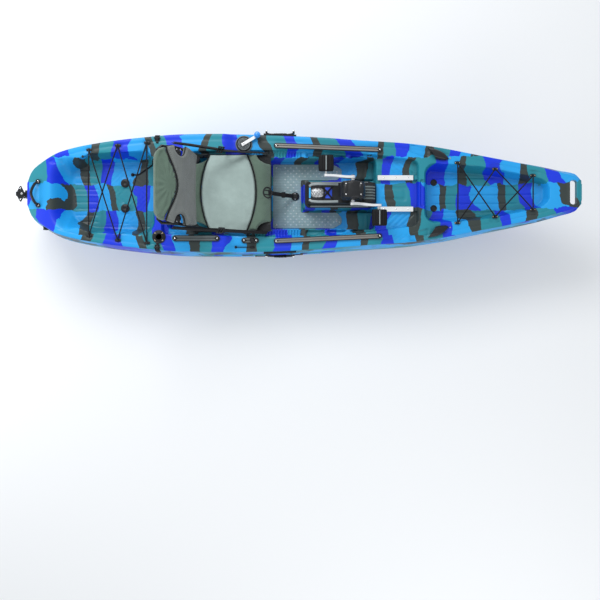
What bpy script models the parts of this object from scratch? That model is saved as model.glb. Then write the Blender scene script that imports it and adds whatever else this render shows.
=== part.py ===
"""Sit-on-top pedal boat: hull, pedal drive, kick-up rudder, framed seat and deck fittings.

Frame: +X to the bow, +Y to port, +Z up. The origin is on the centreline amidships, at the
hull's flat bottom. Metres.
"""
from math import atan2, cos, pi, radians, sin, tan

import bmesh
import bpy
from mathutils import Matrix, Vector

# ---- driving dimensions -------------------------------------------------
LENGTH = 3.66              # hull, stem to stern
BOW_X = LENGTH / 2
STERN_X = -BOW_X
GAP = 0.0003               # between pieces that touch
WALL = 0.0045              # moulded skin of the hull
INSIDE_X = (-1.765, 1.545) # the hollow, from near the stern to behind the stem

# Hull lines: (x, value), joined by straight runs.
HALF_BEAM = [(STERN_X, 0.095), (-1.80, 0.165), (-1.73, 0.224), (-1.60, 0.294), (-1.334, 0.350),
             (-1.07, 0.383), (-0.80, 0.405), (-0.52, 0.409), (-0.20, 0.403), (0.12, 0.387),
             (0.38, 0.367), (0.70, 0.345), (0.91, 0.317), (1.17, 0.267), (1.437, 0.2145),
             (1.57, 0.185), (1.70, 0.149), (1.79, 0.122), (BOW_X, 0.075)]
SHEER = [(STERN_X, 0.295), (-1.70, 0.320), (-1.25, 0.346), (-0.52, 0.346), (-0.45, 0.320),
         (-0.19, 0.320), (0.56, 0.345), (1.34, 0.342), (1.57, 0.360), (1.70, 0.373),
         (BOW_X, 0.378)]
KEEL = [(STERN_X, 0.235), (-1.80, 0.050), (-1.45, 0.043), (-1.07, 0.022), (-0.69, 0.003),
        (-0.43, 0.0), (0.20, 0.0), (0.58, 0.022), (0.96, 0.048), (1.34, 0.060),
        (1.57, 0.078), (1.622, 0.149), (1.698, 0.276), (1.774, 0.327), (BOW_X, 0.362)]
KNUCKLE = [(STERN_X, 0.262), (-1.72, 0.207), (-1.26, 0.173), (-0.40, 0.140), (0.0, 0.140),
           (0.86, 0.187), (1.20, 0.220), (1.70, 0.318), (BOW_X, 0.369)]
CHINE_SHARE = [(STERN_X, 0.60), (-1.60, 0.66), (-0.5, 0.74), (0.5, 0.70), (1.10, 0.52),
               (1.57, 0.30), (1.70, 0.55), (BOW_X, 0.80)]
GUNWALE_LEAN = 0.018       # the topsides lean in from the knuckle to the gunwale
GUNWALE_ROLL = 0.010       # radius of the gunwale's rolled edge

# Deck levels and openings
LEDGE_Z = 0.300            # seat ledges and fore bench
FLOOR_Z = 0.165            # footwell floor
CONSOLE_Z = 0.240          # top of the drive console, between the footwells
TANK_FLOOR_Z = 0.200       # aft well
CONSOLE_HALF = 0.104       # drive console between the footwells
DRIVE_WELL = (0.165, 0.475, 0.050)      # x from, x to, half-width: the drive's way through
HANDLE_SLOT = (1.775, 0.022, 0.080)     # bow grip: x centre, half-length in X, half-width
ROD_Y = -0.290
SCUPPER_X, SCUPPER_Y, SCUPPER_R = 0.889, 0.087, 0.017
PLUG_X, PLUG_Y, PLUG_R = -1.20, 0.085, 0.019

# Pedal drive
CRANK_X, CRANK_Z = 0.325, 0.460
CRANK_R = 0.172
CRANK_SIDE = 0.088         # crank arm's middle, from the centreline
PEDAL_Y = 0.175
PROP_Z = -0.127
PROP_R = 0.118
BLADE_PITCH = 0.174        # advance in one turn
BLADE_CHORD = [(0.09, 0.026), (0.35, 0.050), (0.70, 0.044), (0.92, 0.028), (1.0, 0.012)]
GEAR_UP = 4.0              # crank to upright shaft
GEAR_DOWN = 2.0            # upright shaft to propeller
BASE_TOP = 0.345

# Rudder
STEER_X = -1.862
KICK_X, KICK_Z = -1.885, 0.202

# Seat
SEAT_RAIL_Y = 0.246
RECLINE_X, RECLINE_Z = -0.655, 0.345
BACK_TUBE_R = 0.0095
# The back's rear face: (x, z, lean, half-width, thickness), from its lower edge to the head
BACK_STATIONS = [(-0.690, 0.462, radians(15), 0.200, 0.020),
                 (-0.714, 0.552, radians(15), 0.216, 0.024),
                 (-0.736, 0.628, radians(20), 0.222, 0.030),
                 (-0.757, 0.668, radians(40), 0.222, 0.040),
                 (-0.800, 0.702, radians(58), 0.216, 0.046),
                 (-0.872, 0.742, radians(62), 0.188, 0.036)]

# Steering dial
DIAL_X, DIAL_Y = -0.386, 0.325

COLOURS = {
    "hull": ((0.10, 0.35, 0.62), 0.35, 0.0),
    "black_plastic": ((0.02, 0.02, 0.022), 0.45, 0.0),
    "grey_plastic": ((0.18, 0.20, 0.20), 0.5, 0.0),
    "aluminium": ((0.75, 0.76, 0.77), 0.3, 1.0),
    "steel": ((0.55, 0.56, 0.57), 0.3, 1.0),
    "frame_tube": ((0.05, 0.06, 0.06), 0.35, 0.6),
    "seat_fabric": ((0.30, 0.34, 0.28), 0.9, 0.0),
    "webbing": ((0.02, 0.02, 0.02), 0.85, 0.0),
    "foam_mat": ((0.16, 0.19, 0.20), 0.9, 0.0),
    "bungee": ((0.01, 0.01, 0.012), 0.7, 0.0),
    "blue_plastic": ((0.10, 0.45, 0.85), 0.3, 0.0),
}


# ---- helpers ------------------------------------------------------------
def clear_scene():
    for obj in list(bpy.data.objects):
        bpy.data.objects.remove(obj, do_unlink=True)


def collection(name):
    found = bpy.data.collections.new(name)
    bpy.context.scene.collection.children.link(found)
    return found


def material(name):
    if name in bpy.data.materials:
        return bpy.data.materials[name]
    colour, rough, metal = COLOURS[name]
    mat = bpy.data.materials.new(name)
    mat.use_nodes = True
    shader = mat.node_tree.nodes["Principled BSDF"]
    shader.inputs["Base Color"].default_value = (*colour, 1.0)
    shader.inputs["Roughness"].default_value = rough
    shader.inputs["Metallic"].default_value = metal
    return mat


def link(obj, mat=None, parent=None):
    """Puts an object in the boat's collection, or in the cutters' when it has no material."""
    (BOAT if mat else CUTTERS).objects.link(obj)
    if mat:
        obj.data.materials.append(material(mat))
    else:
        obj.hide_render = True
        obj.display_type = "WIRE"
    if parent:
        # The piece keeps its place in the world: its own location is made relative.
        obj.parent = parent
        obj.matrix_parent_inverse = Matrix.Translation(-Vector(parent.location))
    return obj


def shade(mesh, angle=radians(35)):
    mesh.shade_smooth()
    mesh.set_sharp_from_angle(angle=angle)


def from_bmesh(name, bm, mat=None, parent=None):
    bmesh.ops.recalc_face_normals(bm, faces=bm.faces)
    mesh = bpy.data.meshes.new(name)
    bm.to_mesh(mesh)
    bm.free()
    shade(mesh)
    return link(bpy.data.objects.new(name, mesh), mat, parent)


def bevel(obj, width, segments=2, angle=radians(40)):
    mod = obj.modifiers.new("Bevel", "BEVEL")
    mod.width = width
    mod.segments = segments
    mod.limit_method = "ANGLE"
    mod.angle_limit = angle
    mod.harden_normals = False
    return obj


def box(name, low, high, mat=None, parent=None, round_edges=0.0, segments=2, turn=None):
    """A box between two corners; turn is a matrix about its own middle."""
    low, high = Vector(low), Vector(high)
    bm = bmesh.new()
    bmesh.ops.create_cube(bm, size=1.0)
    bmesh.ops.scale(bm, vec=high - low, verts=bm.verts)
    if turn:
        bmesh.ops.transform(bm, matrix=turn, verts=bm.verts)
    bmesh.ops.translate(bm, vec=(low + high) / 2, verts=bm.verts)
    obj = from_bmesh(name, bm, mat, parent)
    return bevel(obj, round_edges, segments) if round_edges else obj


AXES = {"X": Matrix.Rotation(pi / 2, 4, "Y"), "Y": Matrix.Rotation(-pi / 2, 4, "X"),
        "Z": Matrix.Identity(4)}


def cylinder(name, radius, start, end, axis, mat=None, parent=None, sides=20, top=None):
    """A cylinder or cone between two points on a line along X, Y or Z."""
    start, end = Vector(start), Vector(end)
    bm = bmesh.new()
    bmesh.ops.create_cone(bm, cap_ends=True, segments=sides, radius1=radius,
                          radius2=radius if top is None else top, depth=(end - start).length)
    bmesh.ops.transform(bm, matrix=AXES[axis], verts=bm.verts)
    bmesh.ops.translate(bm, vec=(start + end) / 2, verts=bm.verts)
    return from_bmesh(name, bm, mat, parent)


def loft(name, rings, mat=None, parent=None):
    """A skin over closed rings with the same number of points, capped at both ends."""
    bm = bmesh.new()
    rows = [[bm.verts.new(p) for p in ring] for ring in rings]
    count = len(rows[0])
    for a, b in zip(rows, rows[1:]):
        for i in range(count):
            j = (i + 1) % count
            bm.faces.new((a[i], a[j], b[j], b[i]))
    bm.faces.new(rows[0])
    bm.faces.new(rows[-1])
    return from_bmesh(name, bm, mat, parent)


def turned(name, profile, axis, place, mat=None, parent=None, steps=20, ring=False):
    """A turned piece: profile holds (radius, distance along the axis), from low to high."""
    bm = bmesh.new()
    verts = [bm.verts.new((r, 0.0, h)) for r, h in profile]
    for a, b in zip(verts, verts[1:]):
        bm.edges.new((a, b))
    if ring:
        bm.edges.new((verts[-1], verts[0]))
    bmesh.ops.spin(bm, geom=bm.verts[:] + bm.edges[:], axis=(0, 0, 1), cent=(0, 0, 0),
                   angle=2 * pi, steps=steps, use_merge=True)
    bmesh.ops.remove_doubles(bm, verts=bm.verts, dist=1e-6)
    bmesh.ops.transform(bm, matrix=Matrix.Translation(place) @ AXES[axis], verts=bm.verts)
    return from_bmesh(name, bm, mat, parent)


def rounded(outline, radius, steps=3):
    """The outline's corners, each replaced by an arc of the given radius."""
    result = []
    count = len(outline)
    for i, corner in enumerate(outline):
        corner = Vector(corner)
        to_last = (Vector(outline[i - 1]) - corner).normalized()
        to_next = (Vector(outline[(i + 1) % count]) - corner).normalized()
        half = to_last.angle(to_next) / 2
        reach = radius / tan(half)
        centre = corner + (to_last + to_next).normalized() * radius / sin(half)
        first = corner + to_last * reach - centre
        last = corner + to_next * reach - centre
        for k in range(steps + 1):
            point = first.lerp(last, k / steps).normalized() * radius
            result.append(tuple(centre + point))
    return result


def plate(name, outline, low, high, axis, mat=None, parent=None):
    """A flat outline with a thickness. axis Z takes (x, y) points and axis Y takes (x, z)."""
    curve = bpy.data.curves.new(name, "CURVE")
    curve.dimensions = "2D"
    curve.fill_mode = "BOTH"
    curve.extrude = (high - low) / 2
    spline = curve.splines.new("POLY")
    spline.points.add(len(outline) - 1)
    for point, (u, v) in zip(spline.points, outline):
        point.co = (u, v, 0.0, 1.0)
    spline.use_cyclic_u = True
    turn = Matrix.Identity(4) if axis == "Z" else Matrix.Rotation(pi / 2, 4, "X")
    middle = (low + high) / 2
    shift = (0, 0, middle) if axis == "Z" else (0, middle, 0)
    return solid_of(name, curve, Matrix.Translation(shift) @ turn, mat, parent)


def solid_of(name, curve, matrix, mat=None, parent=None):
    """The curve's solid as a closed mesh in world space."""
    guide = bpy.data.objects.new(name + "_guide", curve)
    CUTTERS.objects.link(guide)
    graph = bpy.context.evaluated_depsgraph_get()
    mesh = bpy.data.meshes.new_from_object(guide.evaluated_get(graph), depsgraph=graph)
    mesh.transform(matrix)
    bpy.data.objects.remove(guide, do_unlink=True)
    bpy.data.curves.remove(curve)
    bm = bmesh.new()
    bm.from_mesh(mesh)
    bpy.data.meshes.remove(mesh)
    bmesh.ops.remove_doubles(bm, verts=bm.verts, dist=1e-5)
    return from_bmesh(name, bm, mat, parent)


def tube(name, points, radius, mat=None, parent=None, closed=False, sides=2):
    """A round bar along points."""
    curve = bpy.data.curves.new(name, "CURVE")
    curve.dimensions = "3D"
    curve.bevel_depth = radius
    curve.bevel_resolution = sides
    curve.use_fill_caps = not closed
    spline = curve.splines.new("POLY")
    spline.points.add(len(points) - 1)
    for point, co in zip(spline.points, points):
        point.co = (*co, 1.0)
    spline.use_cyclic_u = closed
    return solid_of(name, curve, Matrix.Identity(4), mat, parent)


def boolean(target, other, operation):
    mod = target.modifiers.new(operation.title(), "BOOLEAN")
    mod.operation = operation
    mod.object = other
    mod.solver = "EXACT"


def cut(target, *cutters):
    for cutter in cutters:
        boolean(target, cutter, "DIFFERENCE")
    return target


def join(target, *others):
    for other in others:
        boolean(target, other, "UNION")
    return target


def smooth_route(points, step):
    """Points along a smooth curve through the given ones, about a step apart."""
    pts = [Vector(p) for p in points]
    pts = [pts[0] * 2 - pts[1]] + pts + [pts[-1] * 2 - pts[-2]]
    route = []
    for a, b, c, d in zip(pts, pts[1:], pts[2:], pts[3:]):
        count = max(1, round((c - b).length / step))
        for i in range(count):
            t = i / count
            route.append(0.5 * ((2 * b) + (c - a) * t + (2 * a - 5 * b + 4 * c - d) * t ** 2
                                + (3 * b - a - 3 * c + d) * t ** 3))
    return route + [pts[-2]]


def pivot(name, place):
    """An empty on a joint's axis, which its pieces ride on."""
    empty = bpy.data.objects.new(name, None)
    empty.location = place
    BOAT.objects.link(empty)
    return empty


# ---- hull ---------------------------------------------------------------
def line(table, x):
    for (x0, v0), (x1, v1) in zip(table, table[1:]):
        if x <= x1:
            return v0 + (v1 - v0) * (x - x0) / (x1 - x0)
    return table[-1][1]


def half_section(x):
    """The hull's right half at x, from the keel up to the deck: (y, z) points."""
    beam, sheer, keel = line(HALF_BEAM, x), line(SHEER, x), line(KEEL, x)
    knuckle = line(KNUCKLE, x)
    chine = beam * line(CHINE_SHARE, x)
    rise = min(0.035, 0.35 * (knuckle - keel))
    top = beam - GUNWALE_LEAN
    return [(0.0, keel), (chine * 0.6, keel), (chine, keel + 0.45 * rise),
            ((chine + beam) / 2 + 0.02 * beam, keel + rise + 0.25 * (knuckle - keel)),
            (beam, knuckle), (top, sheer - GUNWALE_ROLL), (top - GUNWALE_ROLL, sheer),
            (0.0, sheer)]


def hull_side(x, z):
    """Half-width of the topsides at a height above the knuckle."""
    below, above = half_section(x)[4:6]
    share = (z - below[1]) / (above[1] - below[1])
    return below[0] + (above[0] - below[0]) * min(max(share, 0.0), 1.0)


def well(name, stations, grow=0.0):
    """A deck well's cutter: (x, half-width at the floor, half-width at the deck, floor z).
    With grow it is the well and its wall."""
    top = 0.43
    rings = []
    last = len(stations) - 1
    for i, (x, floor_half, deck_half, floor_z) in enumerate(stations):
        slope = (deck_half - floor_half) / (0.34 - floor_z)
        x += grow if i == last else -grow if i == 0 else 0.0
        low = floor_z - grow
        low_half = floor_half + grow * 1.1
        top_half = low_half + slope * (top - low)
        rings.append([(x, -low_half, low), (x, low_half, low),
                      (x, top_half, top), (x, -top_half, top)])
    return loft(name, rings)


def grown(outline, by):
    """The outline moved outward by a distance; it runs anticlockwise."""
    result = []
    count = len(outline)
    for i, point in enumerate(outline):
        before = (Vector(point) - Vector(outline[i - 1])).normalized()
        after = (Vector(outline[(i + 1) % count]) - Vector(point)).normalized()
        way = Vector((before.y + after.y, -before.x - after.x)).normalized()
        result.append(tuple(Vector(point) + way * by / max(0.5, way.dot((after.y, -after.x)))))
    return result


TANK_WELL = [(-1.60, 0.100, 0.150, 0.300), (-1.56, 0.170, 0.215, 0.205),
             (-1.40, 0.215, 0.268, TANK_FLOOR_Z), (-0.99, 0.232, 0.300, TANK_FLOOR_Z),
             (-0.962, 0.232, 0.300, 0.230)]
COCKPIT = [(-0.93, 0.262, 0.272, LEDGE_Z), (-0.35, 0.276, 0.284, LEDGE_Z),
           (0.05, 0.282, 0.290, LEDGE_Z), (0.42, 0.250, 0.262, LEDGE_Z),
           (0.77, 0.205, 0.222, LEDGE_Z)]
FORE_WELL = [(0.805, 0.150, 0.200, 0.235), (0.86, 0.165, 0.205, 0.215),
             (1.17, 0.140, 0.178, 0.228), (1.45, 0.095, 0.130, 0.250),
             (1.60, 0.062, 0.085, 0.285), (1.64, 0.040, 0.060, 0.330)]
FOOT_AFT, FOOT_FORE, FOOT_HALF = -0.90, 0.490, 0.236
FOOTWELLS = [(FOOT_AFT, -FOOT_HALF), (FOOT_FORE, -FOOT_HALF), (FOOT_FORE, -CONSOLE_HALF),
             (0.0, -CONSOLE_HALF), (0.0, CONSOLE_HALF), (FOOT_FORE, CONSOLE_HALF),
             (FOOT_FORE, FOOT_HALF), (FOOT_AFT, FOOT_HALF)]
CONSOLE = [(FOOT_AFT, -FOOT_HALF), (FOOT_FORE, -FOOT_HALF), (FOOT_FORE, FOOT_HALF),
           (FOOT_AFT, FOOT_HALF)]


def hull_rings(xs, wall=0.0):
    """The hull's outside, or with a wall its inside."""
    rings = []
    for x in xs:
        half = [(max(y - wall * min(1.0, y / 0.05), 0.0), z + wall if z < line(KNUCKLE, x)
                 else z - wall if z > line(KNUCKLE, x) else z)
                for y, z in half_section(x)]
        rings.append([(x, y, z) for y, z in half]
                     + [(x, -y, z) for y, z in reversed(half[1:-1])])
    return rings


def hull_openings(grow=0.0):
    """Cutters for the wells and the through holes; with grow, each with its wall."""
    tag = "_wall" if grow else ""
    back, front, half = DRIVE_WELL
    drive = rounded([(back, -half), (front, -half), (front, half), (back, half)], 0.030)
    cutters = [
        well("cut_tank_well" + tag, TANK_WELL, grow),
        well("cut_cockpit" + tag, COCKPIT, grow),
        well("cut_fore_well" + tag, FORE_WELL, grow),
        plate("cut_footwells" + tag, grown(rounded(FOOTWELLS, 0.022), grow),
              FLOOR_Z - grow, 0.40, "Z"),
        plate("cut_console_top" + tag, grown(rounded(CONSOLE, 0.0215), grow),
              CONSOLE_Z - grow, 0.405, "Z"),
        plate("cut_drive_well" + tag, grown(drive, grow), -0.10, 0.41, "Z"),
        cylinder("cut_rod_holder" + tag, 0.024 + grow, (-0.944, ROD_Y, 0.12 - grow),
                 (-0.944, ROD_Y, 0.42), "Z", sides=20)]
    for side in (-1, 1):
        name = f"_{'port' if side > 0 else 'starboard'}{tag}"
        cutters += [
            cylinder("cut_scupper" + name, SCUPPER_R + grow,
                     (SCUPPER_X, side * SCUPPER_Y, -0.05), (SCUPPER_X, side * SCUPPER_Y, 0.30),
                     "Z", sides=16),
            cylinder("cut_tank_scupper" + name, PLUG_R + GAP + grow,
                     (PLUG_X, side * PLUG_Y, -0.05), (PLUG_X, side * PLUG_Y, 0.30), "Z",
                     sides=20)]
    return cutters


def make_hull():
    """A hollow one-piece shell: its inside opens at the drain hole in the starboard quarter."""
    xs = sorted({round(x, 4) for table in (HALF_BEAM, SHEER, KEEL) for x, _ in table})
    hull = loft("hull", hull_rings(xs), "hull")
    inside = loft("cut_inside",
                  hull_rings([INSIDE_X[0]] + [x for x in xs if INSIDE_X[0] < x < INSIDE_X[1]]
                             + [INSIDE_X[1]], WALL))
    cut(inside, *hull_openings(WALL))
    slot = rounded([(HANDLE_SLOT[0] + sx * HANDLE_SLOT[1], sy * HANDLE_SLOT[2])
                    for sx, sy in ((-1, -1), (1, -1), (1, 1), (-1, 1))], 0.018)
    cut(hull, inside, *hull_openings(), plate("cut_bow_grip", slot, 0.20, 0.45, "Z"),
        cylinder("cut_drain", 0.0185, (-1.72, -0.32, 0.250), (-1.72, -0.14, 0.250), "Y",
                 sides=16))


# ---- fittings on the hull -----------------------------------------------
def slanted_bar(name, ends, width, height, mat, lift=GAP):
    """A flat bar along the deck: ends are (x, y), and its underside follows the sheer."""
    rings = []
    for x, y in ends:
        z = line(SHEER, x) + lift
        rings.append([(x, y - width / 2, z), (x, y + width / 2, z),
                      (x, y + width * 0.42, z + height), (x, y - width * 0.42, z + height)])
    return loft(name, rings, mat)


def side_strip(name, xs, low, high, thickness, side, mat):
    """A strip on the topsides, following them at each x."""
    rings = []
    for x in xs:
        inner_low = hull_side(x, low) + 0.0006
        inner_high = hull_side(x, high) + 0.0006
        outer = max(inner_low, inner_high) + thickness
        rings.append([(x, side * inner_low, low), (x, side * outer, low),
                      (x, side * outer, high), (x, side * inner_high, high)])
    return loft(name, rings, mat)


def make_deck_fittings():
    cylinder("drain_plug", 0.018, (-1.72, -0.236, 0.250), (-1.72, -0.205, 0.250), "Y",
             "black_plastic", sides=16)
    for side, tag in ((-1, "starboard"), (1, "port")):
        turned(f"scupper_plug_{tag}",
               [(0.0, 0.140), (0.014, 0.140), (PLUG_R - GAP, TANK_FLOOR_Z + 0.0005),
                (0.030, TANK_FLOOR_Z + 0.0005), (0.028, 0.206), (0.015, 0.209), (0.0, 0.206)],
               "Z", (PLUG_X, side * PLUG_Y, 0.0), "black_plastic", steps=20)
        slanted_bar(f"gear_track_{tag}", [(-0.185, side * 0.316), (0.523, side * 0.284)],
                    0.030, 0.012, "black_plastic")
        box(f"accessory_rail_{tag}", (0.500, side * 0.104 - 0.016, LEDGE_Z + GAP),
            (0.735, side * 0.104 + 0.016, LEDGE_Z + 0.022), "aluminium", round_edges=0.002)
        hood = loft(f"rod_hood_{tag}", hood_rings(side, 0.0), "black_plastic")
        cut(hood, loft(f"cut_hood_{tag}", hood_rings(side, 0.003)))
        x = -0.955
        loft(f"paddle_keeper_{tag}",
             [[(x + k * 0.016, side * y, z) for k, y, z in
               ((-1, y0, z0), (1, y0, z0), (1, y1, z1), (-1, y1, z1))]
              for y0, z0, y1, z1 in keeper_path(x)], "webbing")
        side_strip(f"side_handle_bracket_{tag}", [-0.256, -0.19, -0.040], 0.296, 0.309, 0.012,
                   side, "black_plastic")
    slanted_bar("aft_track_starboard", [(-0.853, -0.300), (-0.545, -0.300)], 0.036, 0.010,
                "grey_plastic")
    slanted_bar("short_track_starboard", [(-0.400, -0.312), (-0.290, -0.312)], 0.034, 0.010,
                "grey_plastic")
    turned("track_knob", [(0.0, 0.3305), (0.013, 0.3305), (0.017, 0.336), (0.017, 0.346),
                          (0.012, 0.351), (0.0, 0.352)], "Z", (-0.330, -0.312, 0.0),
           "black_plastic", steps=14)
    turned("rod_holder", [(0.0195, 0.135), (0.0235, 0.135), (0.0235, 0.3463),
                          (0.044, 0.3463), (0.044, 0.351), (0.0235, 0.355), (0.0195, 0.352)],
           "Z", (-0.944, ROD_Y, 0.0), "black_plastic", steps=20, ring=True)
    mat_outline = [(-0.200, -0.218), (0.215, -0.218), (0.270, -0.185), (0.270, -0.110),
                   (-0.008, -0.110), (-0.008, 0.110), (0.270, 0.110), (0.270, 0.185),
                   (0.215, 0.218), (-0.200, 0.218)]
    plate("floor_mat", rounded(mat_outline, 0.012, 2), FLOOR_Z + GAP, FLOOR_Z + 0.0055, "Z",
          "foam_mat")
    make_carry_handle()
    make_bungees()
    make_hold_down()


HOOD = [(0.835, 0.036, 0.040), (0.870, 0.037, 0.045), (0.930, 0.030, 0.036),
        (0.980, 0.020, 0.018), (1.000, 0.010, 0.008)]


def hood_rings(side, wall):
    """A rod-tip hood, or with a wall its inside: open aft, closed to the bow."""
    rings = []
    for x, half, high in HOOD[: 4 if wall else 5]:
        aft = x - 0.01 if wall else x
        middle = side * (0.262 - (x - 0.83) * 0.12)
        floor = line(SHEER, 0.83) + GAP + wall * 0.7
        rings.append([(aft, middle + side * k * (half - wall), floor + rise)
                      for k, rise in ((-1, 0.0), (1, 0.0), (0.62, (high - wall * 2) * 0.8),
                                      (0, high - wall * 2), (-0.62, (high - wall * 2) * 0.8))])
    return rings


def keeper_path(x):
    """A webbing strap over the gunwale: (inner y, z, outer y, z) from the deck to the side."""
    top = line(SHEER, x)
    edge = half_section(x)[6][0]
    side_high = hull_side(x + 0.016, top - 0.014)
    side_low = hull_side(x + 0.016, 0.262)
    thick = 0.004
    return [(edge - 0.022, top + 0.0006, edge - 0.022, top + 0.0006 + thick),
            (edge + 0.001, top + 0.0006, edge + 0.002, top + 0.0006 + thick),
            (side_high + 0.0012, top - 0.010, side_high + 0.0012 + thick, top - 0.008),
            (side_low + 0.0012, 0.262, side_low + 0.0012 + thick, 0.262)]


def make_carry_handle():
    """The stern grip: a bowed bar on two feet, along Y across the stern deck."""
    route = smooth_route([(-1.752, -0.078, 0.322), (-1.766, -0.060, 0.340),
                          (-1.787, 0.0, 0.348), (-1.766, 0.060, 0.340),
                          (-1.752, 0.078, 0.322)], 0.022)
    grip = tube("stern_handle", route, 0.0095, "black_plastic")
    for side in (-1, 1):
        z = line(SHEER, -1.735) + 0.0008
        join(grip, cylinder(f"add_grip_foot_{side}", 0.015, (-1.750, side * 0.078, z),
                            (-1.750, side * 0.078, z + 0.012), "Z", sides=14))


BOW_ANCHORS = [(1.022, 0.198), (1.270, 0.157), (1.515, 0.112)]
STERN_ANCHORS = [(-1.406, 0.284), (-1.215, 0.312), (-1.023, 0.330)]


def bungee_route(anchors):
    """Out along the anchors and back, crossing between them: a closed zigzag lashing."""
    (x1, y1), (x2, y2), (x3, y3) = anchors
    stops = [(x1, y1), (x2, -y2), (x3, y3), (x3, -y3), (x2, y2), (x1, -y1)]
    high = [0.0, 0.0, 0.0, 0.0075, 0.0075, 0.0075]
    route = []
    for i, (a, b) in enumerate(zip(stops, stops[1:] + stops[:1])):
        for k in range(4):
            t = k / 4
            lift = high[i] * sin(pi * t) if k else 0.0
            x, y = a[0] + (b[0] - a[0]) * t, a[1] + (b[1] - a[1]) * t
            route.append((x, y, line(SHEER, x) + 0.008 + lift))
    return route


def make_bungees():
    tube("bow_bungee", bungee_route(BOW_ANCHORS), 0.003, "bungee", closed=True, sides=1)
    tube("stern_bungee", bungee_route(STERN_ANCHORS), 0.003, "bungee", closed=True, sides=1)
    side_strip("paddle_bungee_starboard", [-0.310, -0.19, -0.005], 0.186, 0.192, 0.006, -1,
               "bungee")


def make_hold_down():
    """The strap from the seat's front bar to an eye on the footwell floor."""
    box("floor_eye", (-0.062, -0.014, FLOOR_Z + 0.006), (-0.030, 0.014, FLOOR_Z + 0.022),
        "black_plastic", round_edges=0.003)


# ---- side handles -------------------------------------------------------
def make_side_handle(side, tag):
    """A bail on two pins: it hangs outside the topsides and lifts outward."""
    x0, x1, z = -0.238, -0.057, 0.3025
    y = hull_side(x0, 0.300) + 0.0222
    hinge = pivot(f"side_handle_{tag}_pivot", (0, side * y, z))
    low = z - 0.082
    route = [(x0, side * y, z), (x0, side * y, z - 0.040), (x0 + 0.020, side * y, low + 0.012),
             (x0 + 0.045, side * y, low), (x1 - 0.045, side * y, low),
             (x1 - 0.020, side * y, low + 0.012), (x1, side * y, z - 0.040),
             (x1, side * y, z)]
    tube(f"side_handle_{tag}", route, 0.0075, "black_plastic", hinge)
    return hinge


# ---- pedal drive --------------------------------------------------------
def make_drive():
    lift = pivot("drive_lift_pivot", (CRANK_X, 0, 0))
    base = plate("drive_base", rounded([(0.018, -0.086), (0.485, -0.086), (0.485, 0.086),
                                        (0.018, 0.086)], 0.030), CONSOLE_Z + GAP, 0.262, "Z",
                 "black_plastic", lift)
    fairing = loft("add_base_fairing",
                   [[(x, -0.070, 0.250), (x, 0.070, 0.250), (x, 0.066, z), (x, -0.066, z)]
                    for x, z in ((0.040, 0.335), (0.060, BASE_TOP), (0.345, BASE_TOP),
                                 (0.415, 0.362), (0.460, 0.360), (0.481, 0.340))])
    join(base, fairing)
    cut(base, box("cut_base_room", (0.075, -0.058, 0.20), (0.470, 0.058, BASE_TOP - 0.010)),
        cylinder("cut_base_shaft", 0.011, (CRANK_X, 0, 0.28), (CRANK_X, 0, 0.40), "Z",
                 sides=16),
        box("cut_base_top", (CRANK_X - 0.083, -0.060, BASE_TOP), (CRANK_X + 0.083, 0.060, 0.40)))
    arch = [(CRANK_X + 0.080 * sin(a), CRANK_Z + 0.080 * cos(a))
            for a in (radians(k) for k in range(-90, 91, 15))]
    arch = [(CRANK_X - 0.070, BASE_TOP + GAP)] + arch + [(CRANK_X + 0.070, BASE_TOP + GAP)]
    housing = plate("crank_housing", arch, -0.055, 0.055, "Y", "black_plastic", lift)
    cut(housing,
        cylinder("cut_gear_room", 0.058, (CRANK_X, -0.040, CRANK_Z), (CRANK_X, 0.040, CRANK_Z),
                 "Y", sides=24),
        box("cut_shaft_room", (CRANK_X - 0.026, -0.026, 0.33), (CRANK_X + 0.026, 0.026, 0.43)),
        cylinder("cut_axle_bore", 0.0128, (CRANK_X, -0.08, CRANK_Z), (CRANK_X, 0.08, CRANK_Z),
                 "Y", sides=24))
    make_leg(lift)
    make_cranks(lift)
    make_shafts(lift)


def foil(x0, x1, thick, z):
    """A symmetric strut section at a height, nose forward."""
    chord = x1 - x0
    shape = [(0.0, 0.18), (0.25, 0.42), (0.62, 0.50), (0.90, 0.30), (1.0, 0.0)]
    port = [(x0 + chord * u, thick * v, z) for u, v in shape]
    return port + [(x, -y, z) for x, y, _ in reversed(port[:-1])]


def make_leg(lift):
    leg = loft("drive_leg", [foil(0.288, 0.382, 0.040, BASE_TOP - 0.010 - GAP),
                             foil(0.294, 0.378, 0.036, -0.0847)], "black_plastic", lift)
    cut(leg, cylinder("cut_leg_bore", 0.0095, (CRANK_X, 0, -0.2), (CRANK_X, 0, 0.4), "Z",
                      sides=16))
    case = turned("gearcase", [(0.0, -0.145), (0.010, -0.143), (0.017, -0.137),
                               (0.021, -0.120), (0.026, -0.090), (0.026, -0.055),
                               (0.020, -0.022), (0.010, -0.003), (0.0, 0.0)], "X",
                  (0.415, 0, PROP_Z), "black_plastic", lift, steps=24)
    join(case, loft("add_case_neck", [foil(0.294, 0.378, 0.036, PROP_Z + 0.008),
                                      foil(0.294, 0.378, 0.036, -0.085)]))
    cut(case,
        cylinder("cut_case_room", 0.0200, (0.296, 0, PROP_Z), (0.352, 0, PROP_Z), "X",
                 sides=20),
        cylinder("cut_case_top", 0.0095, (CRANK_X, 0, PROP_Z), (CRANK_X, 0, -0.05), "Z",
                 sides=16),
        cylinder("cut_case_tail", 0.0068, (0.22, 0, PROP_Z), (0.31, 0, PROP_Z), "X", sides=16))
    fin = [(0.302, -0.1535), (0.369, -0.1535), (0.362, -0.178), (0.345, -0.205),
           (0.320, -0.230), (0.292, -0.2445), (0.284, -0.240), (0.288, -0.215),
           (0.300, -0.185)]
    plate("skeg", fin, -0.005, 0.005, "Y", "grey_plastic", lift)


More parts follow.
